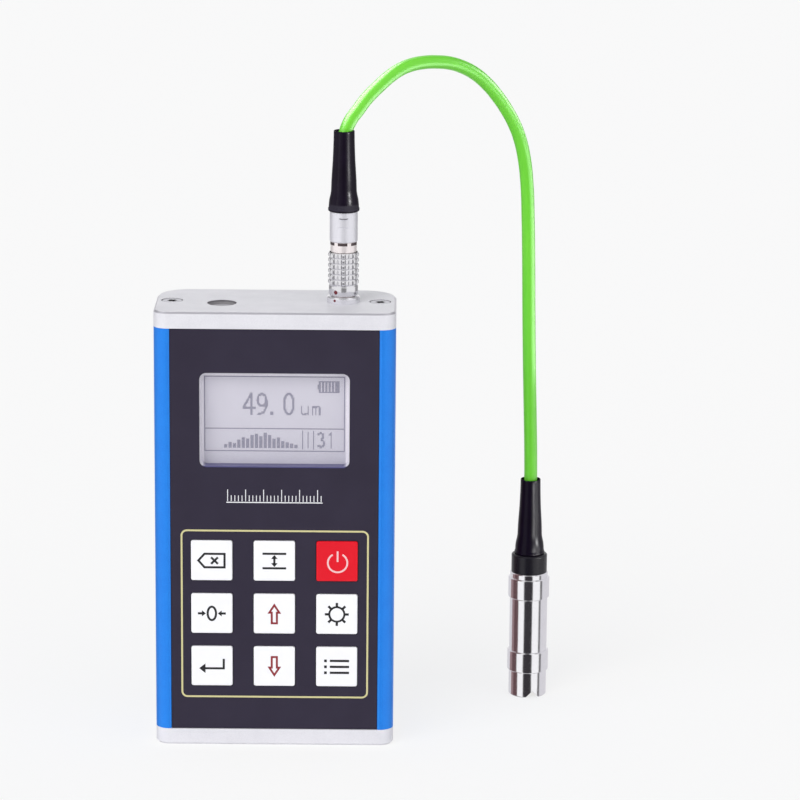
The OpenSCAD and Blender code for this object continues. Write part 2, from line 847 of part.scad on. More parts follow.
module socket_nut() {
    z = case_h - cap_t - cap_pad_t - socket_nut_t;
    color("silver") translate([plug_x, 0, z]) difference() {
        cylinder(h = socket_nut_t, r = socket_nut_r, $fn = 6);
        translate([0, 0, -through]) cylinder(h = socket_nut_t + 2 * through, r = thread_d / 2 + snug);
    }
}

module plug_body() {
    nose_r = nose_d / 2;
    shell_r = nose_r - nose_wall;
    insert_top = post_top + insert_gap + insert_len;
    color("silver") turned(plug_x, 0, case_h, [
        [shell_r, nose_low], [nose_r - nose_chamfer, nose_low], [nose_r, nose_low + nose_chamfer],
        [nose_r, sleeve_step_z], [waist_r, sleeve_step_z], [waist_r, shoulder_low],
        [shoulder_r, shoulder_low], [shoulder_r, neck_low], [neck_r, neck_low], [neck_r, nut_low],
        [shoulder_r, nut_low],
        [shoulder_r, nut_floor], [wire_bore_r, nut_floor], [wire_bore_r, insert_top], [shell_r, insert_top],
    ]);
}

module plug_insert() {
    insert_r = nose_d / 2 - nose_wall - snug;
    color("ivory") difference() {
        translate([plug_x, 0, case_h + post_top + insert_gap]) cylinder(h = insert_len, r = insert_r);
        at_pins() translate([0, 0, post_top])
            cylinder(h = insert_gap + insert_len + through, r = pin_r + snug);
    }
}

module plug_pins() {
    color("gold") at_pins() translate([0, 0, post_top - pin_reach])
        cylinder(h = pin_reach + insert_len, r = pin_r);
}

// Rows of pips left by turned grooves and straight flutes.
module release_sleeve() {
    r = sleeve_d / 2;
    smooth_r = r - knurl_rise;
    row = knurl_len / knurl_rows;
    counterbore_z = sleeve_top - sleeve_travel - slide_gap;
    color("silver") difference() {
        turned(plug_x, 0, case_h, concat(
            [[nose_d / 2 + slide_gap, sleeve_low], [smooth_r - sleeve_chamfer, sleeve_low],
             [smooth_r, sleeve_low + sleeve_chamfer], [smooth_r, knurl_low - knurl_rise], [r, knurl_low]],
            [for (i = [1:knurl_rows - 1], step = [-1, 0, 1])
                [r - (step == 0 ? knurl_cut : 0), knurl_low + i * row + step * knurl_cut]],
            [[r, sleeve_top - knurl_chamfer], [r - knurl_chamfer, sleeve_top],
             [sleeve_counterbore_r, sleeve_top], [sleeve_counterbore_r, counterbore_z],
             [sleeve_bore_r, counterbore_z],
             [sleeve_bore_r, sleeve_step_z], [nose_d / 2 + slide_gap, sleeve_step_z]]));
        for (i = [0:knurl_flutes - 1]) translate([plug_x, 0, case_h + (knurl_low + sleeve_top) / 2])
            rotate([0, 0, 360 * i / knurl_flutes]) translate([r, 0, 0]) rotate([0, 0, 45])
                cube([knurl_cut * sqrt(2), knurl_cut * sqrt(2), knurl_len - knurl_margin], center = true);
    }
}

module sleeve_spring() {
    length = shoulder_low - sleeve_step_z;
    color("gray") translate([plug_x, 0, case_h + sleeve_step_z])
        coil_spring(length, (waist_r + sleeve_bore_r) / 2, sleeve_wire, sleeve_spring_turns);
}

// Nut that clamps the lead, with two spanner flats and a stem for the boot.
module clamp_nut() {
    r = nut_d / 2;
    bore_r = shoulder_r + snug;
    color("silver") difference() {
        turned(plug_x, 0, case_h, [
            [bore_r, nut_low], [r - nut_chamfer, nut_low], [r, nut_low + nut_chamfer],
            [r, nut_top - nut_chamfer], [r - nut_chamfer, nut_top], [stem_r, nut_top],
            [stem_r, nut_top + stem_len], [wire_bore_r, nut_top + stem_len],
            [wire_bore_r, nut_floor], [bore_r, nut_floor],
        ]);
        for (side = [-1, 1])
            translate([plug_x, side * (r + through - spanner_cut), case_h + nut_top - spanner_drop])
                cube([nut_d, 2 * through, spanner_w], center = true);
    }
}

// Strain relief: a rim, a flared skirt, a waist and a long taper, bored for the lead.
module strain_boot(x, y, z) {
    rim_r = boot_base_d / 2 + boot_rim;
    tip_r = boot_tip_d / 2;
    flare = boot_base_d / 2 - tip_r;
    pocket = stem_len + 2 * boot_edge;
    color([0.08, 0.07, 0.1]) turned(x, y, z, concat(
        [[stem_r + stem_gap, 0], [rim_r - boot_edge / 2, 0], [rim_r, boot_edge], [rim_r, boot_rim_len]],
        [for (p = boot_form) [tip_r + p[1] * flare, p[0] * boot_len]],
        [[tip_r, boot_len - tip_edge], [tip_r - tip_edge, boot_len], [tip_r - mouth_lip, boot_len],
         [boot_bore_r, boot_len - mouth_len], [boot_bore_r, pocket], [stem_r + stem_gap, pocket]]));
}

module plug_boot() {
    strain_boot(plug_x, 0, boot_low);
}

// Lead

// Catmull-Rom curve through the route's points.
function spline_point(a, b, c, d, t) =
    b + 0.5 * ((c - a) * t + (2 * a - 5 * b + 4 * c - d) * t * t + (3 * b - a - 3 * c + d) * t * t * t);
function spline(points, steps) =
    let (last = len(points) - 1)
    concat([for (i = [0:last - 1], s = [0:steps - 1])
        spline_point(points[max(i - 1, 0)], points[i], points[i + 1], points[min(i + 2, last)], s / steps)],
        [points[last]]);

module probe_lead() {
    color([0.42, 0.85, 0.25]) swept(spline(lead_route, lead_steps), lead_d / 2, lead_sides, lead_plane);
}

// Probe

module probe_boot() {
    strain_boot(probe_x, probe_y, collar_top);
}

module probe_collar() {
    r = collar_d / 2;
    bore_r = core_stem_r + collar_bore_gap;
    color([0.08, 0.07, 0.1]) turned(probe_x, probe_y, 0, [
        [bore_r, spigot_low], [spigot_r, spigot_low], [spigot_r, probe_len], [r, probe_len],
        [r, collar_top - collar_chamfer], [r - collar_chamfer, collar_top], [stem_r, collar_top],
        [stem_r, collar_top + stem_len], [bore_r, collar_top + stem_len],
    ]);
}

// Turned sleeve with two grip bands and a notch across its lower end.
module probe_sleeve() {
    r = probe_r;
    band_r = r + band_rise;
    edge = probe_edge;
    lower_top = lower_band_z + band_len;
    upper_top = upper_band_z + band_len;
    color("lightsteelblue") difference() {
        turned(probe_x, probe_y, 0, [
            [throat_r, 0], [r - edge, 0], [r, edge], [r, lower_band_z], [band_r - edge, lower_band_z],
            [band_r, lower_band_z + edge], [band_r, lower_top - edge], [band_r - edge, lower_top],
            [r, lower_top], [r, upper_band_z], [band_r - edge, upper_band_z], [band_r, upper_band_z + edge],
            [band_r, upper_top - edge], [band_r - edge, upper_top], [r, upper_top], [r, probe_len - edge],
            [r - edge, probe_len], [probe_bore_r, probe_len], [probe_bore_r, throat_h], [throat_r, throat_h],
        ]);
        translate([probe_x, probe_y, 0]) rotate([0, 0, notch_turn]) rotate([0, 45, 0])
            cube([notch_w / sqrt(2), probe_d * 2, notch_w / sqrt(2)], center = true);
    }
}

// Sensor carrier that floats on the spring inside the sleeve.
module probe_core() {
    tip_hole = tip_d / 2 + snug;
    edge = core_edge;
    color("goldenrod") turned(probe_x, probe_y, 0, [
        [tip_hole, tip_out], [core_nose_r - edge, tip_out], [core_nose_r, tip_out + edge],
        [core_nose_r, core_step_z],
        [core_r, core_step_z], [core_r, core_top_z], [core_stem_r, core_top_z], [core_stem_r, core_stem_top],
        [0, core_stem_top], [0, tip_len], [tip_hole, tip_len],
    ]);
}

// Hard pole with a rounded end that stands on the work.
module probe_tip() {
    r = tip_d / 2;
    color("gray") translate([probe_x, probe_y, 0]) intersection() {
        cylinder(h = tip_len, r = r);
        union() {
            translate([0, 0, tip_ball_r]) sphere(tip_ball_r);
            translate([0, 0, tip_ball_r]) cylinder(h = tip_len, r = tip_ball_r);
        }
    }
}

module probe_spring() {
    color("gray") translate([probe_x, probe_y, core_top_z])
        coil_spring(spigot_low - core_top_z, (core_stem_r + probe_bore_r) / 2, spring_wire, spring_turns);
}

case_shell();
top_cap();
bottom_cap();
top_cap_screws();
bottom_cap_screws();
front_overlay();
key_spacer();
key_circuit();
key_domes();
named_key("clear", "white");  // key_clear
named_key("limit", "white");  // key_limit
named_key("power", "crimson");  // key_power
named_key("zero", "white");  // key_zero
named_key("up", "white");  // key_up
named_key("backlight", "white");  // key_backlight
named_key("exit", "white");  // key_exit
named_key("down", "white");  // key_down
named_key("menu", "white");  // key_menu
lcd_bezel();
lcd_window();
lcd_glass();
lcd_backlight();
main_board();
processor_chip();
buzzer();
battery_tray();
battery_cells();
battery_springs();
battery_contacts();
battery_cover();
data_port();
probe_socket();
socket_insert();
socket_nut();
plug_body();
plug_insert();
plug_pins();
release_sleeve();
sleeve_spring();
clamp_nut();
plug_boot();
probe_lead();
probe_boot();
probe_collar();
probe_sleeve();
probe_spring();
probe_core();
probe_tip();
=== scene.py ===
"""Looks of a hand-held coating thickness gauge: its lead, finishes, print, display and studio."""
import json
import math

import bmesh
import bpy
from mathutils import Matrix, Vector


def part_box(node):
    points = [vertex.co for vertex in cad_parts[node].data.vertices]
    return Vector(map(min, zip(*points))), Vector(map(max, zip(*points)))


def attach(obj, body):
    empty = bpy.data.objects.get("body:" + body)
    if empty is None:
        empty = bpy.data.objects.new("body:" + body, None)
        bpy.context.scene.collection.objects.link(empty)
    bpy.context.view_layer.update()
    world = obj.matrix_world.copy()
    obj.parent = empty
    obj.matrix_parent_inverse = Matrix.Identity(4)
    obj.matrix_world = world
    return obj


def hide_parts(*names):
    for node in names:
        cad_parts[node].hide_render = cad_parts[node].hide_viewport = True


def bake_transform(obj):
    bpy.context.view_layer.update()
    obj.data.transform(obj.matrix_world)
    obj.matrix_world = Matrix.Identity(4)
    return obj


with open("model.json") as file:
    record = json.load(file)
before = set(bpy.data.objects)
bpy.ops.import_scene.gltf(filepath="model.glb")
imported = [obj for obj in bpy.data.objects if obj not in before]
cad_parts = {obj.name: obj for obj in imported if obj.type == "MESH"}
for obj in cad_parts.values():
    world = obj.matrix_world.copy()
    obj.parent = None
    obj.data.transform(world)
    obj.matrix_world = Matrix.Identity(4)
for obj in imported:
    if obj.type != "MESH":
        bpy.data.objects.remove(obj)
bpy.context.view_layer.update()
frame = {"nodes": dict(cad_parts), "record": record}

NODES = frame["nodes"]
BODY_OF = {node: body for body, nodes in frame["record"]["behaviour"]["bodies"].items() for node in nodes}
MM = 0.001


def span(node):
    """Lowest and highest corner of a CAD node, millimetres."""
    return [Vector(corner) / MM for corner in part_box(node)]


def foot(node):
    """Lower end of the upright axis of a turned CAD node, millimetres."""
    low, high = span(node)
    return Vector(((low.x + high.x) / 2, (low.y + high.y) / 2, low.z))


# Front panel, millimetres
OVERLAY_Y = span("front_overlay")[0].y
KEY_FRONT_Y, KEY_BACK_Y = (corner.y for corner in span("key_zero"))
KEY_SIDE = 11.55
KEY_CORNER = 0.6
KEY_NAMES = ("clear", "limit", "power", "zero", "up", "backlight", "exit", "down", "menu")
INK = 0.03
KEYPAD_W, KEYPAD_H = 52, 48.5
KEYPAD_CORNER = 1.5
KEYPAD_X, KEYPAD_Z = 0.1, 38.45
SCALE_Z = 71.2
SCALE_HALF = 13
SCALE_TICKS = 27
GLASS_Y = span("lcd_glass")[0].y
WINDOW_Z = sum(corner.z for corner in span("lcd_window")) / 2
DOT_X, DOT_Z = 0.3055, 0.3375
RASTER_COLUMNS, RASTER_ROWS = 128, 64
RASTER_LEFT = -63.8 * DOT_X
RASTER_LOW = 84.7

# Connector and probe, millimetres, and turns in degrees
PLUG = foot("plug_boot")
PROBE = foot("probe_boot")
BOOT_LENGTH = span("plug_boot")[1].z - PLUG.z
BOOT_BASE_R = 4.2
BOOT_TIP_R = 2.9
BOOT_RIM_R = 4.35
BOOT_RIM = 0.9
BOOT_MOUTH_R = 2.75
BOOT_BORE_R = 2.05
BOOT_FUNNEL = 4
STEM_R = 2.65
STEM_LENGTH = 5.1
SLEEVE_LOW, SLEEVE_TOP = (corner.z for corner in span("release_sleeve"))
SLEEVE_SMOOTH = 3.0
SLEEVE_BORE_R = 3.3
SLEEVE_BORE = 3.2
SPRING_ROOM_R = 3.55
COUNTERBORE_R = 3.85
COUNTERBORE = 1.6
SMOOTH_R = 4.1
PIP_R = 4.3
CORE_R = 4.03
KNURL_ROWS = 6
KNURL_FLUTES = 24
LEDGE_DROP = 1.8
NECK_R = 3.7
# Painted shade under the clamp nut: the count and height of its dark arcs
NECK_SHADE_ARCS = 6
NECK_SHADE_HEIGHT = 0.8
FLANGE_R = 4.6
FLANGE_MARK_Z = 126.0
FRONT = -90
# Turn of the middle of an arc of painted shade on the neck
SHADE_ARC_TURN = FRONT - 4
MARK_TURN = FRONT - 31
PROBE_SLEEVE_R = 5.5
NOTCH_TOP = 2.1
CARD_R = 27

# Lead, its thickness in metres and its rise over the plug's boot in millimetres
LEAD_DIAMETER = 0.0038
LEAD_RISE = 17
# Its centre line: per cent of the way across to the probe, then per cent of the rise or of the drop
LEAD_ARCH = [
    (0, -75), (0, -48), (0, -27), (0.2, -13), (0.9, -1), (2.3, 10.5), (4.3, 21), (7.1, 32), (10.2, 45),
    (13.8, 57), (18, 69), (23, 82), (28, 91.5), (33.5, 97.5), (40, 100), (47, 99), (54, 95), (60, 87.5),
    (66.5, 75), (73, 56), (79.5, 30), (84.5, 5),
]
LEAD_DROP = [
    (88, 2.6), (91, 6.5), (93.6, 12), (95.3, 19), (96.2, 28), (96.9, 40), (97.5, 54), (98.3, 69),
    (99.2, 83), (99.8, 93), (100, 100), (100, 111),
]


# Camera

def place_camera():
    """Camera at the photograph's angle, as fitted to the edges of the case."""
    turn, lift, roll = (math.radians(angle) for angle in (-0.06, 13.72, 0.487))
    target = Vector((34.705, 0, 96.863)) * MM
    distance = 1041.4 * MM
    back = Vector((math.sin(turn) * math.cos(lift), -math.cos(turn) * math.cos(lift), math.sin(lift)))
    level = Vector((0, 0, 1)).cross(back).normalized()
    right = math.cos(roll) * level + math.sin(roll) * back.cross(level)
    axes = Matrix((right, back.cross(right), back)).transposed()
    data = bpy.data.cameras.new("photo_camera")
    data.sensor_fit = "HORIZONTAL"
    data.sensor_width = 36
    data.lens = 167.1
    data.clip_start = 0.02
    data.clip_end = 30
    camera = bpy.data.objects.new("photo_camera", data)
    camera.matrix_world = Matrix.Translation(target + back * distance) @ axes.to_4x4()
    bpy.context.scene.collection.objects.link(camera)
    bpy.context.scene.camera = camera


place_camera()


# Shader and geometry trees

def paint(red, green, blue):
    """A colour as it shows on a screen, 0 to 255, as a shader's linear colour."""
    def linear(level):
        level /= 255
        return level / 12.92 if level <= 0.04045 else ((level + 0.055) / 1.055) ** 2.4
    return (linear(red), linear(green), linear(blue), 1)


def shade(colour, factor):
    """The same colour, lighter or darker."""
    return tuple(min(channel * factor, 1) for channel in colour[:3]) + (1,)


class Signal:
    """A socket that takes part in sums: each operator adds a Math node."""

    def __init__(self, tree, socket):
        self.tree = tree
        self.socket = socket

    def math(self, operation, *values):
        """The result of a Math node on these values."""
        return self.tree.node("ShaderNodeMath", {"operation": operation}, dict(enumerate(values)))

    def __add__(self, other):
        return self.math("ADD", self, other)

    def __radd__(self, other):
        return self.math("ADD", other, self)

    def __sub__(self, other):
        return self.math("SUBTRACT", self, other)

    def __rsub__(self, other):
        return self.math("SUBTRACT", other, self)

    def __mul__(self, other):
        return self.math("MULTIPLY", self, other)

    def __rmul__(self, other):
        return self.math("MULTIPLY", other, self)

    def __truediv__(self, other):
        return self.math("DIVIDE", self, other)

    def __lt__(self, other):
        return self.math("LESS_THAN", self, other)

    def __gt__(self, other):
        return self.math("GREATER_THAN", self, other)

    def __mod__(self, other):
        return self.math("FLOORED_MODULO", self, other)

    def __abs__(self):
        return self.math("ABSOLUTE", self)

    def step(self, start, end):
        """0 up to start, 1 from end, with a smooth slope between."""
        return self.tree.node("ShaderNodeMapRange", {"interpolation_type": "SMOOTHSTEP"},
                              {"Value": self, "From Min": start, "From Max": end})


class Tree:
    """The nodes of a finish, of the surroundings or of a piece that repeats."""

    def __init__(self, nodes):
        self.nodes = nodes
        self.nodes.nodes.clear()

    def node(self, kind, settings=None, inputs=None, out=0):
        """Adds a node, with its settings first and then the values or links of its sockets."""
        made = self.nodes.nodes.new(kind)
        for name, value in (settings or {}).items():
            setattr(made, name, value)
        for key, value in (inputs or {}).items():
            if isinstance(value, Signal):
                self.nodes.links.new(value.socket, made.inputs[key])
            else:
                made.inputs[key].default_value = value
        return Signal(self, made.outputs[out]) if len(made.outputs) else made

    def mix(self, share, first, second):
        """A colour between two others."""
        return self.node("ShaderNodeMix", {"data_type": "RGBA"}, {0: share, 6: first, 7: second}, out=2)


class Finish(Tree):
    """A material whose patterns lie on the piece's own coordinates."""

    def __init__(self, name):
        self.material = bpy.data.materials.new(name)
        self.material.use_nodes = True
        super().__init__(self.material.node_tree)
        self.place = self.node("ShaderNodeTexCoord", out="Object")

    def axes(self, centre=(0, 0, 0)):
        """The place on the piece in millimetres from a centre, as three signals."""
        split = self.node("ShaderNodeSeparateXYZ", None, {0: self.place})
        node = split.socket.node
        return [Signal(self, node.outputs[i]) * 1000 - centre[i] for i in range(3)]

    def noise(self, size, detail, stretch=(1, 1, 1)):
        """Noise with grains of a size in millimetres, drawn out along an axis by its stretch."""
        scale = tuple(1 / (size * MM * part) for part in stretch)
        where = self.node("ShaderNodeVectorMath", {"operation": "MULTIPLY"}, {0: self.place, 1: scale})
        return self.node("ShaderNodeTexNoise", None, {"Vector": where, "Scale": 1.0, "Detail": detail})

    def lathe(self, width):
        """Fine rings round an upright axis, and their mean with a faint cloud of polish."""
        rings = self.noise(width, 2, (400, 400, 1))
        return rings, rings * 0.5 + self.noise(3, 3) * 0.5

    def bump(self, height, depth):
        """Relief from a height signal, its depth in millimetres."""
        return self.node("ShaderNodeBump", None, {"Height": height, "Strength": 1.0, "Distance": depth * MM})

    def close(self, **inputs):
        """Ends the tree in a Principled shader with these inputs."""
        named = {name.replace("_", " "): value for name, value in inputs.items()}
        shader = self.node("ShaderNodeBsdfPrincipled", None, named)
        self.node("ShaderNodeOutputMaterial", None, {"Surface": shader})
        return self.material


# Finishes

def grained(name, colour, roughness, metallic=0.0, grain=0.3, spread=0.08, relief=0.01, **more):
    """A finish with a fine grain that shifts its colour, gloss and relief a little."""
    finish = Finish(name)
    fine = finish.noise(grain, 2)
    cloud = finish.noise(grain * 30, 3)
    tone = fine * 0.6 + cloud * 0.4
    return finish.close(
        Base_Color=finish.mix(tone, shade(colour, 1 - spread), shade(colour, 1 + spread)),
        Roughness=roughness - 0.06 + tone * 0.12,
        Metallic=metallic,
        Normal=finish.bump(fine, relief),
        **more)


def anodised_blue():
    """Dyed anodising on an extrusion: a mottled satin with faint lines along the drawing direction."""
    finish = Finish("blue_anodised")
    fine = finish.noise(0.3, 2)
    cloud = finish.noise(5, 3)
    lines = finish.noise(0.12, 2, (1, 1, 300))
    tone = fine * 0.5 + cloud * 0.3 + lines * 0.2
    return finish.close(
        Base_Color=finish.mix(tone, paint(0, 105, 217), paint(30, 149, 247)),
        Metallic=0.25,
        Roughness=0.32 + fine * 0.16,
        Normal=finish.bump(fine * 0.7 + lines * 0.3, 0.012))


def blasted_silver():
    """Clear anodising on a blasted end cap, with a bright-cut chamfer round its upper edge and painted shade
    down the wall of the hole round its data port.
    """
    finish = Finish("cap_silver")
    x, y, z = finish.axes()
    fine = finish.noise(0.2, 2)
    cloud = finish.noise(7, 3)
    tone = fine * 0.55 + cloud * 0.45
    top = span("top_cap")[1].z
    cut = z.step(top - 0.6, top - 0.5) * (1 - z.step(top - 0.1, top - 0.04))
    port = foot("data_port")
    reach_square = 18.5
    dx, dy = x - port.x, y - port.y
    # Painted shade: a darker grey on the cap's wall inside the hole round the data port.
    hole = ((dx * dx + dy * dy) < reach_square) * (z > top / 2) * (z < top - 0.12)
    blasted = finish.mix(tone, paint(208, 207, 214), paint(246, 245, 250))
    blasted = finish.mix(hole, blasted, paint(150, 148, 151))
    return finish.close(
        Base_Color=finish.mix(cut * (1 - hole), blasted, paint(214, 212, 220)),
        Metallic=0.14 + cut * 0.7,
        Roughness=0.38 + fine * 0.2 - cut * 0.1,
        Normal=finish.bump(fine, 0.008))


def screw_finish():
    """Plated screw, with painted shade in and round its recess and round its rim."""
    finish = Finish("screw_steel")
    x, y, z = finish.axes()
    edge = span("top_cap_screws")[1]
    head_r, half = edge.y, edge.z / 2
    dx = abs(x) - (edge.x - head_r)
    away = x.math("SQRT", dx * dx + y * y)
    # Painted shade: dark down the recess, on a disc round its middle and in a ring at the head's rim.
    recess = 1 - abs(z - half).step(half - 0.5, half - 0.15)
    painted_screw_shade = (1 - away.step(1.0, 1.7)) * 0.7 + away.step(head_r - 0.35, head_r - 0.1) * 0.6
    rings = finish.noise(0.2, 2)
    plated = finish.mix(rings, paint(188, 187, 195), paint(214, 213, 220))
    return finish.close(
        Base_Color=finish.mix(x.math("MAXIMUM", recess, painted_screw_shade), plated, paint(58, 56, 62)),
        Metallic=0.45,
        Roughness=0.36 + rings * 0.1,
        Normal=finish.bump(rings, 0.004))


def printed_film():
    """Dark back-printed film with a velvet texture."""
    finish = Finish("overlay_film")
    fine = finish.noise(0.14, 2)
    cloud = finish.noise(11, 2)
    tone = fine * 0.4 + cloud * 0.6
    return finish.close(
        Base_Color=finish.mix(tone, paint(40, 35, 50), paint(54, 49, 66)),
        Roughness=0.46 + fine * 0.16,
        Specular_IOR_Level=0.2,
        Normal=finish.bump(fine, 0.012))


def moulded_key(name, colour):
    """Glossy moulded key with a faint orange-peel."""
    finish = Finish(name)
    peel = finish.noise(0.7, 2)
    cloud = finish.noise(5, 2)
    return finish.close(
        Base_Color=finish.mix(cloud, shade(colour, 0.97), shade(colour, 1.02)),
        Roughness=0.3 + peel * 0.12,
        Specular_IOR_Level=0.35,
        Normal=finish.bump(peel, 0.006))


def display_face():
    """Liquid-crystal cell: a pale grey polariser with a brighter border, over a fine dot raster."""
    finish = Finish("display_grey")
    x, _, z = finish.axes((0, 0, WINDOW_Z))
    raster = ((x / DOT_X % 1) > 0.12) * ((z / DOT_Z % 1) > 0.12)
    glow = z.step(-13, 13) * 0.6 + finish.noise(9, 2) * 0.4
    border = x.math("MAXIMUM", abs(x).step(19.5, 19.9), z.step(11.6, 11.9))
    field = finish.mix(glow, paint(194, 191, 203), paint(210, 207, 218))
    field = finish.mix(raster * 0.35, field, paint(202, 199, 210))
    return finish.close(
        Base_Color=finish.mix(border, field, paint(238, 234, 242)),
        Roughness=0.32 + finish.noise(0.1, 1) * 0.08)


def bezel_finish():
    """Pale moulded bezel, with painted violet shade on its lower sill that deepens towards the glass."""
    finish = Finish("bezel_lilac")
    _, y, z = finish.axes((0, GLASS_Y, WINDOW_Z))
    sill = 1 - z.step(-13.3, -12.6)
    fine = finish.noise(0.2, 2)
    pale = finish.mix(fine, paint(226, 222, 234), paint(240, 238, 246))
    shadow = finish.mix(y.step(-3.8, -0.2), paint(92, 90, 138), paint(66, 64, 112))
    return finish.close(
        Base_Color=finish.mix(sill, pale, shadow),
        Roughness=0.35 + fine * 0.12,
        Normal=finish.bump(fine, 0.006))


def clear_window():
    """Clear lens with a trace of haze."""
    finish = Finish("window_clear")
    haze = finish.noise(6, 2)
    return finish.close(
        Base_Color=finish.mix(haze, paint(232, 232, 240), paint(246, 246, 250)),
        Roughness=0.04 + haze * 0.05,
        Alpha=0.03 + haze * 0.03,
        IOR=1.49)


def lead_jacket():
    """Soft green jacket with a slightly wavy skin."""
    finish = Finish("lead_green")
    skin = finish.noise(1.6, 2)
    cloud = finish.noise(18, 2)
    return finish.close(
        Base_Color=finish.mix(cloud * 0.7 + skin * 0.3, paint(98, 206, 34), paint(120, 219, 54)),
        Roughness=0.3 + skin * 0.08,
        Normal=finish.bump(skin, 0.006))


def boot_rubber():
    """Black elastomer with a soft gloss, a little dust in its tone and a matt band over the plug's rim."""
    finish = Finish("boot_black")
    _, _, z = finish.axes(PLUG)
    band = z.step(0.2, 0.6) * (1 - z.step(1.7, 2.2))
    fine = finish.noise(0.3, 2)
    cloud = finish.noise(4, 3)
    smooth = finish.mix(cloud, paint(9, 3, 16), paint(21, 11, 31))
    return finish.close(
        Base_Color=finish.mix(band, smooth, finish.mix(fine, paint(28, 25, 36), paint(58, 54, 66))),
        Roughness=0.24 + fine * 0.12 + band * 0.4,
        Specular_IOR_Level=0.12,
        Normal=finish.bump(fine, 0.006))


def port_plastic():
    """Grey insulator of the data port: pale on its face, with painted shade down its holes."""
    finish = Finish("port_black")
    _, _, z = finish.axes()
    face = span("data_port")[1].z
    grain = finish.noise(0.2, 2)
    pale = finish.mix(grain, paint(168, 166, 172), paint(190, 188, 194))
    # Painted shade: dark below the face, down the holes.
    return finish.close(
        Base_Color=finish.mix(z.step(face - 0.5, face - 0.1), paint(52, 50, 56), pale),
        Roughness=0.42 + grain * 0.1,
        Normal=finish.bump(grain, 0.006))


def turned_metal(name, colour, roughness, lines=0.05, relief=0.002, metallic=1.0):
    """Turned and plated metal: fine rings round the axis and a faint cloud of polish."""
    spread = 0.05
    finish = Finish(name)
    rings, tone = finish.lathe(lines)
    return finish.close(
        Base_Color=finish.mix(tone, shade(colour, 1 - spread), shade(colour, 1 + spread)),
        Metallic=metallic,
        Roughness=roughness - 0.03 + tone * 0.06,
        Normal=finish.bump(rings, relief))


def nut_finish():
    """Satin plating, with a painted dark shadow line on the ledge over the front spanner flat."""
    finish = Finish("nut_satin")
    x, y, z = finish.axes(PLUG)
    sag = x * x * 0.08
    # Painted shadow: a dark line along the ledge over the front spanner flat.
    line = (1 - abs(z + LEDGE_DROP - sag).step(0.08, 0.2)) * (1 - abs(x).step(0.9, 1.5)) * (y < 0)
    rings, tone = finish.lathe(0.1)
    satin = finish.mix(tone, paint(222, 221, 229), paint(234, 233, 239))
    return finish.close(
        Base_Color=finish.mix(line, satin, paint(96, 94, 102)),
        Metallic=0.55,
        Roughness=0.37 + tone * 0.06,
        Normal=finish.bump(rings, 0.004))


def probe_finish():
    """Polished probe sleeve, with painted shade on the slopes of the notch across its end."""
    finish = Finish("probe_chrome")
    x, y, z = finish.axes(PROBE)
    z = z + PROBE.z
    radius = x.math("SQRT", x * x + y * y)
    inside = 1 - radius.step(PROBE_SLEEVE_R - 0.2, PROBE_SLEEVE_R - 0.08)
    # Painted shade on the notch's slopes and on the sleeve's inside near its end.
    notch = (1 - z.step(NOTCH_TOP, NOTCH_TOP + 0.4)) * inside
    rings, tone = finish.lathe(0.06)
    chrome = finish.mix(tone, paint(232, 231, 235), paint(250, 249, 252))
    return finish.close(
        Base_Color=finish.mix(notch, chrome, paint(58, 52, 60)),
        Metallic=1.0,
        Roughness=0.12 + tone * 0.06 + notch * 0.2,
        Normal=finish.bump(rings, 0.0012))


def circuit_board():
    """Green solder mask with rows of tracks under it."""
    finish = Finish("board_green")
    x, _, z = finish.axes()
    tracks = ((x / 1.27 % 1) > 0.72) * (finish.noise(8, 1) > 0.5)
    rows = ((z / 2.54 % 1) > 0.8) * (finish.noise(9, 1) > 0.52)
    copper = tracks.math("MAXIMUM", tracks, rows)
    return finish.close(
        Base_Color=finish.mix(copper, paint(12, 82, 42), paint(40, 128, 70)),
        Roughness=0.35 + copper * 0.1,
        Normal=finish.bump(copper, 0.03))


def cell_wrap():
    """Printed cell jacket with a darker band at one end."""
    finish = Finish("cell_jacket")
    _, _, z = finish.axes()
    band = z.step(50, 50.6)
    scuff = finish.noise(1.5, 3)
    return finish.close(
        Base_Color=finish.mix(band, paint(42, 44, 50), paint(196, 128, 48)),
        Roughness=0.28 + scuff * 0.2,
        Coat_Weight=0.3)


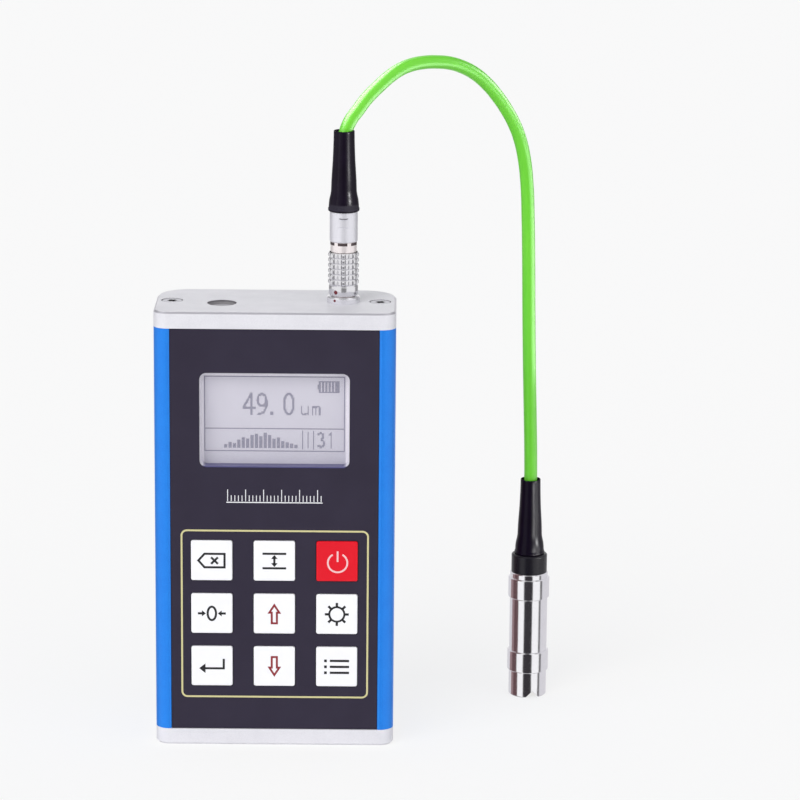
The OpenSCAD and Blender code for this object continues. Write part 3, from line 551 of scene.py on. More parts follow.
FINISHES = {
    "blue_anodised": anodised_blue(),
    "cap_silver": blasted_silver(),
    "screw_steel": screw_finish(),
    "overlay_film": printed_film(),
    "spacer_film": grained("spacer_film", paint(88, 88, 92), 0.6),
    "circuit_film": grained("circuit_film", paint(28, 104, 62), 0.4),
    "dome_steel": turned_metal("dome_steel", paint(204, 204, 208), 0.25, 0.2, 0.003),
    "key_white": moulded_key("key_white", paint(247, 247, 250)),
    "key_red": moulded_key("key_red", paint(226, 8, 34)),
    "bezel_lilac": bezel_finish(),
    "window_clear": clear_window(),
    "display_grey": display_face(),
    "backlight_white": grained("backlight_white", paint(236, 236, 240), 0.5),
    "board_green": circuit_board(),
    "chip_black": grained("chip_black", paint(30, 30, 33), 0.55, relief=0.02),
    "tray_grey": grained("tray_grey", paint(44, 44, 49), 0.5, grain=0.35, relief=0.03),
    "cell_jacket": cell_wrap(),
    "spring_steel": grained("spring_steel", paint(196, 196, 202), 0.25, 1.0, 0.2),
    "contact_brass": grained("contact_brass", paint(214, 178, 96), 0.28, 1.0, 0.2),
    "port_black": port_plastic(),
    "connector_chrome": turned_metal("connector_chrome", paint(226, 225, 229), 0.16),
    "insert_white": grained("insert_white", paint(228, 226, 216), 0.4),
    "boot_black": boot_rubber(),
    "lead_green": lead_jacket(),
    "probe_chrome": probe_finish(),
    "collar_black": grained("collar_black", paint(26, 24, 31), 0.28, Specular_IOR_Level=0.3),
    "core_brass": turned_metal("core_brass", paint(214, 176, 92), 0.2),
    "tip_steel": turned_metal("tip_steel", paint(96, 93, 98), 0.3),
}
NUT_SATIN = nut_finish()
# Brighter, pink-tinted, half-metallic copy of the chrome for the plug's neck: painted reflection.
NECK_BRIGHT = turned_metal("neck_bright", paint(242, 234, 234), 0.3, 0.1, 0.003, 0.5)
# A darker copy of the turned metal, for the painted shade under the clamp nut.
NECK_GAP_SHADE = turned_metal("neck_gap_shade", paint(84, 72, 74), 0.35, 0.1, 0.003, 0.5)
# Brighter, less metallic copy of the chrome for the socket's flange: painted reflection.
FLANGE_BRIGHT = turned_metal("flange_bright", paint(236, 235, 240), 0.2, 0.1, 0.003, 0.8)
INKS = {
    "pink": grained("ink_pink", paint(240, 196, 198), 0.45, grain=0.1, spread=0.04, relief=0.004),
    "white": grained("ink_white", paint(236, 236, 240), 0.45, grain=0.1, spread=0.04, relief=0.004),
    "black": grained("ink_black", paint(24, 24, 28), 0.45, grain=0.1, spread=0.1, relief=0.004),
    "dark_red": grained("ink_dark_red", paint(140, 34, 44), 0.45, grain=0.1, spread=0.08, relief=0.004),
    "gold": grained("ink_gold", paint(210, 203, 150), 0.4, grain=0.1, spread=0.08, relief=0.004),
    "dot": grained("display_dot", paint(128, 125, 146), 0.4, grain=0.15, spread=0.06, relief=0.002),
    "mark": grained("red_enamel", paint(104, 26, 38), 0.3, grain=0.15, spread=0.06, relief=0.006),
}
SLOT_OF = {part["node"]: part["material_slot"] for part in frame["record"]["subparts"]}
for node, slot in SLOT_OF.items():
    NODES[node].data.materials.clear()
    NODES[node].data.materials.append(FINISHES[slot])


# Making and seating pieces

def linked(name, data):
    """An object with this data, in the scene, at the origin."""
    piece = bpy.data.objects.new(name, data)
    bpy.context.scene.collection.objects.link(piece)
    return piece


def soften(mesh, sharp):
    """Smooth shading, apart from edges sharper than an angle in degrees."""
    mesh.shade_smooth()
    mesh.set_sharp_from_angle(angle=math.radians(sharp))


def seat(piece, body, finish, slot, *stands_for):
    """Gives a piece its finish and its body, and hides the CAD nodes that it stands for."""
    if finish:
        piece.data.materials.clear()
        piece.data.materials.append(finish)
    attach(piece, body)
    if stands_for:
        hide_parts(*stands_for)
    return piece


def shaped(name, points, faces, sharp=35):
    """A closed mesh from points in millimetres, its faces turned outwards."""
    mesh = bpy.data.meshes.new(name)
    shape = bmesh.new()
    corners = [shape.verts.new(Vector(point) * MM) for point in points]
    for face in faces:
        shape.faces.new([corners[i] for i in face])
    bmesh.ops.recalc_face_normals(shape, faces=shape.faces)
    shape.to_mesh(mesh)
    shape.free()
    soften(mesh, sharp)
    return mesh


def built(name, points, faces, sharp):
    """A piece with such a mesh."""
    return linked(name, shaped(name, points, faces, sharp))


def skinned(rows):
    """Faces between rows of point numbers that run round a piece, closed at both ends."""
    count = len(rows[0])
    sides = [(a[i], a[(i + 1) % count], b[(i + 1) % count], b[i])
             for a, b in zip(rows, rows[1:]) for i in range(count)]
    return sides + [tuple(rows[0]), tuple(rows[-1])]


def copied(node, sharp):
    """A merged and smooth copy of a CAD node."""
    mesh = NODES[node].data.copy()
    mesh.name = node + "_dressed"
    if "custom_normal" in mesh.attributes:
        mesh.attributes.remove(mesh.attributes["custom_normal"])
    shape = bmesh.new()
    shape.from_mesh(mesh)
    bmesh.ops.remove_doubles(shape, verts=shape.verts, dist=1e-6)
    bmesh.ops.dissolve_limit(shape, angle_limit=math.radians(0.5), verts=shape.verts, edges=shape.edges)
    shape.to_mesh(mesh)
    shape.free()
    soften(mesh, sharp)
    return linked(node + "_dressed", mesh)


def dressed(node, bevel, finish=None):
    """A copy of a CAD node with its edges broken, which stands for the node."""
    sharp = 30
    piece = copied(node, sharp)
    if bevel:
        edge = piece.modifiers.new("Broken edges", "BEVEL")
        edge.width = bevel * MM
        edge.segments = 2
        edge.limit_method = "ANGLE"
        edge.angle_limit = math.radians(sharp)
        edge.harden_normals = True
    return seat(piece, BODY_OF[node], finish, SLOT_OF[node], node)


def sprung(node):
    """A merged and smooth copy of a spring, fixed in its place, which hides the spring's CAD node."""
    piece = copied(node, 60)
    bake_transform(piece)
    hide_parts(node)


# Lead

def lead_route():
    """Points of the lead's centre line in metres, from inside the plug's boot to inside the probe's."""
    mouth = PLUG.z + BOOT_LENGTH
    drop = PLUG.z - PROBE.z
    places = [(across, mouth + LEAD_RISE * rise / 100) for across, rise in LEAD_ARCH]
    places += [(across, mouth - drop * fall / 100) for across, fall in LEAD_DROP]
    way = PROBE - PLUG
    return [Vector((PLUG.x + way.x * across / 100, PLUG.y + way.y * across / 100, z)) * MM
            for across, z in places]


def lay_lead():
    """The lead as one open spline through its route, with a round section."""
    route = lead_route()
    data = bpy.data.curves.new("probe_lead_cord", "CURVE")
    data.dimensions = "3D"
    data.resolution_u = 8
    data.bevel_depth = LEAD_DIAMETER / 2
    data.bevel_resolution = 6
    data.use_fill_caps = True
    line = data.splines.new("BEZIER")
    line.bezier_points.add(len(route) - 1)
    for point, place in zip(line.bezier_points, route):
        point.co = place
        point.handle_left_type = point.handle_right_type = "AUTO"
    lead = seat(linked("probe_lead_cord", data), "lead", FINISHES["lead_green"], "lead_green", "probe_lead")
    lead.visible_glossy = False
    return lead


lead = lay_lead()


# Trees for what repeats

class Recipe(Tree):
    """A geometry tree with named inputs that ends in plain geometry with one finish."""

    KINDS = {"count": "NodeSocketInt", "size": "NodeSocketFloat", "place": "NodeSocketVector",
             "finish": "NodeSocketMaterial", "shape": "NodeSocketGeometry"}

    def __init__(self, name, **inputs):
        self.group = bpy.data.node_groups.new(name, "GeometryNodeTree")
        super().__init__(self.group)
        self.group.interface.new_socket("Geometry", in_out="OUTPUT", socket_type="NodeSocketGeometry")
        for label, kind in inputs.items():
            self.group.interface.new_socket(label, in_out="INPUT", socket_type=self.KINDS[kind])
        entry = self.group.nodes.new("NodeGroupInput")
        self.given = {label: Signal(self, entry.outputs[label]) for label in inputs}

    def vector(self, x=0.0, y=0.0, z=0.0):
        """A vector from its three parts."""
        return self.node("ShaderNodeCombineXYZ", None, {0: x, 1: y, 2: z})

    def end(self, points, shape, **more):
        """Ends the tree with the shape on each of the points, as plain geometry in the given finish."""
        copies = self.node("GeometryNodeInstanceOnPoints", None,
                           {"Points": points, "Instance": shape, **more})
        plain = self.node("GeometryNodeRealizeInstances", None, {0: copies})
        coated = self.node("GeometryNodeSetMaterial", None,
                           {"Geometry": plain, "Material": self.given["finish"]})
        self.node("NodeGroupOutput", None, {0: coated})
        return self.group


def grown(name, group, source=None, **inputs):
    """A plain mesh that a geometry tree makes, with the tree's modifier gone."""
    piece = linked(name, source or bpy.data.meshes.new(name))
    maker = piece.modifiers.new("Recipe", "NODES")
    maker.node_group = group
    for item in group.interface.items_tree:
        if item.in_out == "INPUT" and item.name in inputs:
            maker[item.identifier] = inputs[item.name]
    bpy.context.view_layer.update()
    ready = piece.evaluated_get(bpy.context.evaluated_depsgraph_get())
    mesh = bpy.data.meshes.new_from_object(ready)
    piece.modifiers.clear()
    piece.data = mesh
    mesh.name = name
    return piece


def dots_recipe():
    """A small flat dot on each point of the source."""
    recipe = Recipe("dot_raster", shape="shape", width="size", depth="size", height="size", finish="finish")
    given = recipe.given
    dot = recipe.node("GeometryNodeMeshCube", None,
                      {"Size": recipe.vector(given["width"], given["depth"], given["height"])})
    return recipe.end(given["shape"], dot)


def ticks_recipe():
    """A row of upright ticks, every fifth one long."""
    recipe = Recipe("tick_row", count="count", start="place", pitch="size", width="size", depth="size",
                    short="size", long="size", finish="finish")
    given = recipe.given
    row = recipe.node("GeometryNodeMeshLine", None,
                      {"Count": given["count"], "Start Location": given["start"],
                       "Offset": recipe.vector(given["pitch"])})
    index = recipe.node("GeometryNodeInputIndex")
    height = given["short"] + (given["long"] - given["short"]) * ((index % 5.0) < 0.5)
    stood = recipe.node("GeometryNodeSetPosition", None,
                        {"Geometry": row, "Offset": recipe.vector(z=height / 2)})
    tick = recipe.node("GeometryNodeMeshCube", None, {"Size": (1, 1, 1)})
    return recipe.end(stood, tick, Scale=recipe.vector(given["width"], given["depth"], height))


def rows_recipe():
    """The source repeated round an upright axis and again in rows up it."""
    recipe = Recipe("knurl_rows", shape="shape", rows="count", flutes="count", axis="place", pitch="size",
                    finish="finish")
    given = recipe.given
    points = recipe.node("GeometryNodePoints", None, {"Count": given["rows"] * given["flutes"]})
    index = recipe.node("GeometryNodeInputIndex")
    row = index.math("FLOOR", index / given["flutes"])
    placed = recipe.node("GeometryNodeSetPosition", None,
                         {"Geometry": points, "Position": given["axis"],
                          "Offset": recipe.vector(z=row * given["pitch"])})
    turn = index * (2 * math.pi) / given["flutes"]
    return recipe.end(placed, given["shape"], Rotation=recipe.vector(z=turn))


# Turned and moulded pieces

def turned(name, axis, profile, segments=96, sharp=30):
    """A closed solid of revolution from its profile of radius and height, as on a lathe."""
    points, faces = [], []
    for i in range(segments):
        angle = 2 * math.pi * i / segments
        points += [(axis.x + r * math.cos(angle), axis.y + r * math.sin(angle), axis.z + z)
                   for r, z in profile]
    count = len(profile)
    for i in range(segments):
        for k in range(count):
            a, b = i * count + k, i * count + (k + 1) % count
            c, d = ((i + 1) % segments) * count + (k + 1) % count, ((i + 1) % segments) * count + k
            faces.append((a, b, c, d))
    return built(name, points, faces, sharp)


def boot_radius(share):
    """Outer radius of a strain relief boot at a share of its length."""
    form = [(0, 1), (0.05, 1), (0.1, 0.96), (0.15, 0.86), (0.2, 0.65), (0.25, 0.52), (0.31, 0.49),
            (0.38, 0.45), (0.45, 0.38), (0.53, 0.29), (0.62, 0.19), (0.7, 0.13), (0.78, 0.08), (0.87, 0.03),
            (1, 0)]
    for (low, r0), (high, r1) in zip(form, form[1:]):
        if share <= high:
            part = r0 + (r1 - r0) * (share - low) / (high - low)
            return BOOT_TIP_R + (BOOT_BASE_R - BOOT_TIP_R) * part
    return BOOT_TIP_R


def mould_boot(node, base):
    """A strain relief boot: a turned body with a rim round its skirt and a flared mouth."""
    edge, lip = 0.12, 0.1
    steps = 40
    outside = [(BOOT_RIM_R - edge, 0), (BOOT_RIM_R, edge)]
    outside += [(BOOT_RIM_R, BOOT_RIM - edge), (BOOT_RIM_R - edge, BOOT_RIM)]
    outside += [(boot_radius(i / steps), i / steps * BOOT_LENGTH) for i in range(2, steps)]
    outside += [(BOOT_TIP_R, BOOT_LENGTH - lip), (BOOT_TIP_R - lip, BOOT_LENGTH)]
    inside = [(BOOT_MOUTH_R, BOOT_LENGTH), (BOOT_BORE_R, BOOT_LENGTH - BOOT_FUNNEL)]
    inside += [(BOOT_BORE_R, STEM_LENGTH), (STEM_R, STEM_LENGTH), (STEM_R, 0)]
    body = turned(node + "_body", base, outside + inside, sharp=50)
    return seat(body, "lead", FINISHES["boot_black"], "boot_black", node)


def pip_mesh(pitch):
    """One pip of the knurl, a low pyramid with a flat top, in the lowest row."""
    base_h, base_w = pitch / 2, math.pi * CORE_R / KNURL_FLUTES
    z = SLEEVE_LOW + SLEEVE_SMOOTH + pitch / 2
    layers = ((CORE_R - 0.05, base_w, base_h), (PIP_R - 0.04, 0.3, 0.36), (PIP_R, 0.24, 0.29))
    points = [(r, y * half_w, z + h * half_h) for r, half_w, half_h in layers
              for y, h in ((-1, -1), (1, -1), (1, 1), (-1, 1))]
    return shaped("knurl_pip", points, skinned([range(row, row + 4) for row in (0, 4, 8)]))


def knurl_sleeve():
    """The release sleeve: a smooth end, a groove and rows of pips that stand proud of a turned core."""
    low, top = SLEEVE_LOW, SLEEVE_TOP
    knurl = low + SLEEVE_SMOOTH
    outside = [(SMOOTH_R - 0.25, low), (SMOOTH_R - 0.1, low + 0.06), (SMOOTH_R, low + 0.25),
               (SMOOTH_R, knurl - 0.5), (SMOOTH_R - 0.05, knurl - 0.38), (CORE_R - 0.05, knurl - 0.3),
               (CORE_R - 0.05, knurl + 0.05), (CORE_R, knurl + 0.1), (CORE_R, top - 0.2),
               (CORE_R - 0.08, top)]
    inside = [(COUNTERBORE_R, top), (COUNTERBORE_R, top - COUNTERBORE), (SPRING_ROOM_R, top - COUNTERBORE),
              (SPRING_ROOM_R, low + SLEEVE_BORE), (SLEEVE_BORE_R, low + SLEEVE_BORE)]
    core = [(SLEEVE_BORE_R, low)] + outside + inside
    axis = Vector((PLUG.x, PLUG.y, 0))
    seat(turned("release_sleeve_core", axis, core, 128), "sleeve", FINISHES["connector_chrome"],
         "connector_chrome", "release_sleeve")
    pitch = (top - knurl) / KNURL_ROWS
    pips = grown("release_sleeve_knurl", rows_recipe(), pip_mesh(pitch), rows=KNURL_ROWS, flutes=KNURL_FLUTES,
                 axis=axis * MM, pitch=pitch * MM, finish=FINISHES["connector_chrome"])
    soften(pips.data, 20)
    seat(pips, "sleeve", FINISHES["connector_chrome"], "connector_chrome")


def shade_arc_mesh():
    """One arc of painted shade on the neck, a thin dark arc close under the clamp nut."""
    half, middle = math.radians(21), math.radians(SHADE_ARC_TURN)
    steps = 8
    high = span("clamp_nut")[0].z - 0.05
    low = high - NECK_SHADE_HEIGHT
    points, rows = [], []
    for inset, rise in ((0, -0.1), (0, 0.02), (0.1, 0.03)):
        r = NECK_R + rise
        reach = half - inset / NECK_R
        angles = [middle + reach * (2 * i / steps - 1) for i in range(steps + 1)]
        rows.append(range(len(points), len(points) + 2 * len(angles)))
        points += [(r * math.cos(angle), r * math.sin(angle), low + inset) for angle in angles]
        points += [(r * math.cos(angle), r * math.sin(angle), high - inset) for angle in reversed(angles)]
    return shaped("neck_shade_arc", points, skinned(rows), 60)


def shade_arc_ring():
    """A broken ring of painted shade round the neck, in the gap under the clamp nut."""
    ring = grown("neck_shade_arcs", rows_recipe(), shade_arc_mesh(), rows=1, flutes=NECK_SHADE_ARCS, pitch=0.0,
                 axis=Vector((PLUG.x, PLUG.y, 0)) * MM, finish=NECK_GAP_SHADE)
    seat(ring, "lead", NECK_GAP_SHADE, "connector_chrome")


def align_marks():
    """Red dots on the socket flange and on the sleeve's smooth end, which line up when it is plugged in."""
    corners = 16
    turn = math.radians(MARK_TURN)
    for name, body, radius, z, size in (("flange_mark", "case", FLANGE_R, FLANGE_MARK_Z, 0.38),
                                        ("sleeve_mark", "sleeve", SMOOTH_R, SLEEVE_LOW + 1.15, 0.58)):
        points, rows = [], []
        for share, rise in ((1, -0.1), (1, 0.01), (0.7, 0.05), (0.35, 0.06)):
            for i in range(corners):
                angle = 2 * math.pi * i / corners
                around = turn + size * share * math.cos(angle) / radius
                r = radius + rise
                points.append((PLUG.x + r * math.cos(around), PLUG.y + r * math.sin(around),
                               z + size * share * math.sin(angle)))
            rows.append(range(len(points) - corners, len(points)))
        seat(built(name, points, skinned(rows), 60), body, INKS["mark"], "connector_chrome")


# Keys and print

def rounded(width, height, radius):
    """Points round a rectangle with rounded corners, in x and z."""
    steps = 8
    points = []
    for quarter, (sx, sz) in enumerate(((1, 1), (-1, 1), (-1, -1), (1, -1))):
        for i in range(steps + 1):
            angle = math.pi / 2 * (quarter + i / steps)
            points.append((sx * (width / 2 - radius) + radius * math.cos(angle),
                           sz * (height / 2 - radius) + radius * math.sin(angle)))
    return points


def mould_key(name, x, z):
    """A key cap with a rolled edge and a face that is a little dished."""
    depth = KEY_BACK_Y - KEY_FRONT_Y
    layers = [(0, depth), (0, 0.22), (0.03, 0.12), (0.09, 0.05), (0.18, 0.01), (0.3, 0), (1.4, 0.03)]
    points, rows = [], []
    for inset, sunk in layers:
        ring = rounded(KEY_SIDE - 2 * inset, KEY_SIDE - 2 * inset, max(KEY_CORNER - inset * 0.6, 0.25))
        rows.append(range(len(points), len(points) + len(ring)))
        points += [(x + px, KEY_FRONT_Y + sunk, z + pz) for px, pz in ring]
    node = "key_" + name
    slot = SLOT_OF[node]
    seat(built(node + "_cap", points, skinned(rows), 40), name + "_key", FINISHES[slot], slot, node)


def area(*points):
    """A flat patch of print with one outline."""
    return list(points), [tuple(range(len(points)))]


def stroke(points, width, closed=False):
    """A flat patch of print along a line, with mitred corners."""
    left, right = [], []
    count = len(points)
    for i, point in enumerate(points):
        here = Vector(point)
        before = Vector(points[i - 1]) if closed or i else None
        after = Vector(points[(i + 1) % count]) if closed or i < count - 1 else None
        ways = [(here - before).normalized()] if before is not None else []
        ways += [(after - here).normalized()] if after is not None else []
        normals = [Vector((-way.y, way.x)) for way in ways]
        mitre = sum(normals, Vector((0, 0))).normalized()
        reach = width / 2 / max(mitre.dot(normals[0]), 0.35)
        left.append(tuple(here + mitre * reach))
        right.append(tuple(here - mitre * reach))
    last = count if closed else count - 1
    faces = [(i, (i + 1) % count, count + (i + 1) % count, count + i) for i in range(last)]
    return left + right, faces


def arc(radius, start, end, steps, squash=1.0):
    """Points along an arc, its angles in degrees from straight right."""
    angles = [math.radians(start + (end - start) * i / steps) for i in range(steps + 1)]
    return [(radius * squash * math.cos(a), radius * math.sin(a)) for a in angles]


def moved(patch, dx, dz):
    """The same patch of print in another place."""
    return [(x + dx, z + dz) for x, z in patch[0]], patch[1]


def print_piece(name, patches, y, ink, body, slot):
    """Patches of ink on a face that looks forwards, each a thin raised film."""
    root = 0.005
    mesh = bpy.data.meshes.new(name)
    film = bmesh.new()
    for points, faces in patches:
        corners = [film.verts.new(Vector((x, y + root, z)) * MM) for x, z in points]
        flat = [film.faces.new([corners[i] for i in face]) for face in faces]
        raised = bmesh.ops.extrude_face_region(film, geom=flat)["geom"]
        for part in raised:
            if isinstance(part, bmesh.types.BMVert):
                part.co.y -= (INK + root) * MM
    bmesh.ops.recalc_face_normals(film, faces=film.faces)
    film.to_mesh(mesh)
    film.free()
    seat(linked(name, mesh), body, INKS[ink], slot)


def arrow_head(x, z, dx, dz, length, half):
    """A triangle with its tip at x, z, pointing along dx, dz."""
    return area((x, z), (x - dx * length - dz * half, z - dz * length + dx * half),
                (x - dx * length + dz * half, z - dz * length - dx * half))


def key_signs():
    """The sign on each key and its ink."""
    pen = 0.6
    block = [(0, 2.55), (1.4, 0.35), (0.72, 0.35), (0.72, -2.75), (-0.72, -2.75), (-0.72, 0.35), (-1.4, 0.35)]
    rays = []
    for i in range(8):
        way = Vector((math.cos(math.radians(45 * i)), math.sin(math.radians(45 * i))))
        rays.append(stroke([way * 2.3, way * 3.35], 0.66))
    return {
        "clear": ("black", [
            stroke([(-3.7, 0), (-2.0, 1.95), (3.6, 1.95), (3.6, -1.95), (-2.0, -1.95)], pen, True),
            stroke([(-0.15, -0.95), (1.75, 0.95)], pen), stroke([(-0.15, 0.95), (0.59, 0.21)], pen),
            stroke([(1.01, -0.21), (1.75, -0.95)], pen)]),
        "limit": ("black", [
            stroke([(-3.3, 2.1), (3.3, 2.1)], pen), stroke([(-3.3, -2.1), (3.3, -2.1)], pen),
            stroke([(0, -0.8), (0, 0.8)], pen), arrow_head(0, 1.72, 0, 1, 1.1, 0.9),
            arrow_head(0, -1.72, 0, -1, 1.1, 0.9)]),
        "power": ("pink", [moved(patch, 0.15, -0.4) for patch in (
            stroke(arc(2.72, 120, 420, 60), 0.5), stroke([(0, 0.3), (0, 3.35)], 0.5))]),
        "zero": ("black", [
            stroke(arc(1.95, 0, 351, 39, 0.6), pen, True),
            stroke([(-3.9, 0), (-2.7, 0)], pen), arrow_head(-1.7, 0, 1, 0, 1.05, 0.85),
            stroke([(3.9, 0), (2.7, 0)], pen), arrow_head(1.7, 0, -1, 0, 1.05, 0.85)]),
        "up": ("dark_red", [stroke(block, 0.56, True)]),
        "backlight": ("black", [stroke(arc(2.12, 0, 351, 39), 0.56, True)] + rays),
        "exit": ("black", [
            stroke([(3.3, 2.1), (3.3, -0.7), (-2.0, -0.7)], pen), arrow_head(-3.6, -0.7, -1, 0, 1.75, 1.4)]),
        "down": ("dark_red", [stroke([(x, -z) for x, z in block], 0.56, True)]),
        "menu": ("black", [stroke([(-1.9, z), (3.5, z)], 0.66) for z in (1.75, 0, -1.75)]
                 + [stroke([(-3.5, z), (-2.75, z)], 0.78) for z in (1.75, 0, -1.75)]),
    }


def keypad():
    """The nine keys with their signs, and the print on the film round them."""
    dish = 0.028
    signs = key_signs()
    for name in KEY_NAMES:
        low, high = span("key_" + name)
        x, z = (low.x + high.x) / 2, (low.z + high.z) / 2
        mould_key(name, x, z)
        ink, patches = signs[name]
        print_piece("sign_" + name, [moved(patch, x, z) for patch in patches], KEY_FRONT_Y + dish, ink,
                    name + "_key", SLOT_OF["key_" + name])
    edge = stroke(rounded(KEYPAD_W, KEYPAD_H, KEYPAD_CORNER), 0.5, True)
    print_piece("keypad_frame", [moved(edge, KEYPAD_X, KEYPAD_Z)], OVERLAY_Y, "gold", "case", "overlay_film")
    start = Vector((-SCALE_HALF, OVERLAY_Y - INK / 2, SCALE_Z)) * MM
    ticks = grown("scale_ticks", ticks_recipe(), count=SCALE_TICKS, start=start, pitch=1.0 * MM,
                  width=0.22 * MM, depth=INK * MM, short=1.7 * MM, long=3.4 * MM, finish=INKS["white"])
    seat(ticks, "case", INKS["white"], "overlay_film")
    line = stroke([(-SCALE_HALF - 0.4, SCALE_Z - 0.3), (SCALE_HALF + 0.4, SCALE_Z - 0.3)], 0.28)
    print_piece("scale_line", [line], OVERLAY_Y, "white", "case", "overlay_film")


# Display

def lit_dots():
    """Columns and rows of the raster's dark dots: a number, a charge sign, a bar graph and a count."""
    dots = set()
    fine, firm, bold = 0.75, 0.9, 1.05

    def box(x0, z0, x1, z1):
        dots.update((c, r) for c in range(x0, x1 + 1) for r in range(z0, z1 + 1))

    def line(start, end, thick):
        reach = 2
        start, end = Vector(start), Vector(end)
        along = end - start
        for c in range(int(min(start.x, end.x)) - reach, int(max(start.x, end.x)) + reach + 1):
            for r in range(int(min(start.y, end.y)) - reach, int(max(start.y, end.y)) + reach + 1):
                away = Vector((c, r)) - start
                share = max(0, min(1, away.dot(along) / along.length_squared))
                if (away - along * share).length <= thick:
                    dots.add((c, r))

    def path(points, thick=fine):
        for start, end in zip(points, points[1:]):
            line(start, end, thick)

    def oval(x, z, rx, rz):
        steps = 24
        angles = [2 * math.pi * i / steps for i in range(steps + 1)]
        path([(x + rx * math.cos(angle), z + rz * math.sin(angle)) for angle in angles], bold)

    # Frame
    right, top, rule = RASTER_COLUMNS - 1, RASTER_ROWS - 1, 19
    for r in (0, rule, top):
        box(0, r, right, r)
    for c in (0, right):
        box(c, 0, c, top)
    # Number
    path([(42.5, 31), (42.5, 48.5), (35, 36.5), (45.5, 36.5)], bold)
    oval(52, 43.3, 4, 5)
    path([(56, 43), (56, 37.5), (53.5, 32.5), (49, 31.3)], bold)
    box(60, 31, 62, 33)
    oval(76.5, 39.9, 4.3, 8.7)
    # Unit
    path([(88, 38), (88, 32.5), (90, 31), (93, 32)])
    path([(94, 38), (94, 31)])
    path([(98, 31), (98, 38)])
    path([(98, 37), (100, 38), (101, 37), (101, 31)])
    path([(101, 37), (103, 38), (104.5, 37), (104.5, 31)])
    # Charge sign
    path([(104.5, 57), (102.6, 54.5), (104.5, 52)])
    box(104, 50, 122, 50)
    box(104, 59, 122, 59)
    for c in range(104, 119, 3):
        box(c, 51, c + 1, 58)
    box(119, 51, 122, 58)
    # Bar graph
    for i, height in enumerate((3, 5, 4, 7, 9, 8, 11, 12, 10, 13, 11, 8, 9, 6, 5, 4, 3)):
        box(18 + 4 * i, 3, 20 + 4 * i, 2 + height)
    # Dividers and count
    for c in (89, 99):
        box(c, 2, c, 17)
    path([(94, 3.5), (94, 15.5)])
    path([(103, 14), (105, 15.5), (107.5, 14.5), (108, 12), (106, 10), (108.5, 8), (108.5, 5.5), (106, 3.5),
          (103, 5)], firm)
    path([(113, 14), (115, 15.5), (115, 3.5)])
    return sorted(dots)


def show_display():
    """The raster's dark dots on the face of the cell."""
    y = GLASS_Y - 0.008
    places = [Vector((RASTER_LEFT + c * DOT_X, y, RASTER_LOW + r * DOT_Z)) * MM for c, r in lit_dots()]
    source = bpy.data.meshes.new("raster_points")
    source.from_pydata(places, [], [])
    dots = grown("display_dots", dots_recipe(), source, width=0.28 * MM, depth=0.02 * MM, height=0.31 * MM,
                 finish=INKS["dot"])
    seat(dots, "case", INKS["dot"], "display_grey")


# The object

BEVELS = {"case_shell": 0.12, "top_cap": 0.1, "bottom_cap": 0.1, "top_cap_screws": 0, "bottom_cap_screws": 0,
          "lcd_bezel": 0.05, "data_port": 0.06, "battery_cover": 0.15, "probe_sleeve": 0.08, "probe_tip": 0}
for node, bevel in BEVELS.items():
    dressed(node, bevel)
dressed("plug_body", 0.06, NECK_BRIGHT)
dressed("clamp_nut", 0.06, NUT_SATIN)
dressed("probe_socket", 0.06, FLANGE_BRIGHT)
plug_boot = mould_boot("plug_boot", PLUG)
probe_boot = mould_boot("probe_boot", PROBE)
probe_collar = dressed("probe_collar", 0.12)
sprung("sleeve_spring")
sprung("probe_spring")
knurl_sleeve()
shade_arc_ring()
align_marks()
keypad()
show_display()


# Studio

def lay_floor():
    """A pale floor that keeps the shadow and runs out to white."""
    reach = 4
    share_white = 0.75
    finish = Finish("floor_white")
    speck = finish.noise(4, 2)
    path = finish.node("ShaderNodeLightPath", out="Is Camera Ray")
    matt = finish.node("ShaderNodeBsdfDiffuse", None,
                       {"Color": finish.mix(speck, (0.89, 0.89, 0.893, 1), (0.91, 0.91, 0.913, 1))})
    white = finish.node("ShaderNodeEmission", None, {"Color": (1, 1, 1, 1), "Strength": 1.0})
    surface = finish.node("ShaderNodeMixShader", None, {0: path * share_white, 1: matt, 2: white})
    finish.node("ShaderNodeOutputMaterial", None, {"Surface": surface})
    mesh = bpy.data.meshes.new("studio_floor")
    corners = [(x * reach, y * reach, 0) for x, y in ((-1, -1), (1, -1), (1, 1), (-1, 1))]
    mesh.from_pydata(corners, [], [(0, 1, 2, 3)])
    mesh.materials.append(finish.material)
    floor = linked("studio_floor", mesh)
    floor.visible_glossy = floor.visible_shadow = False


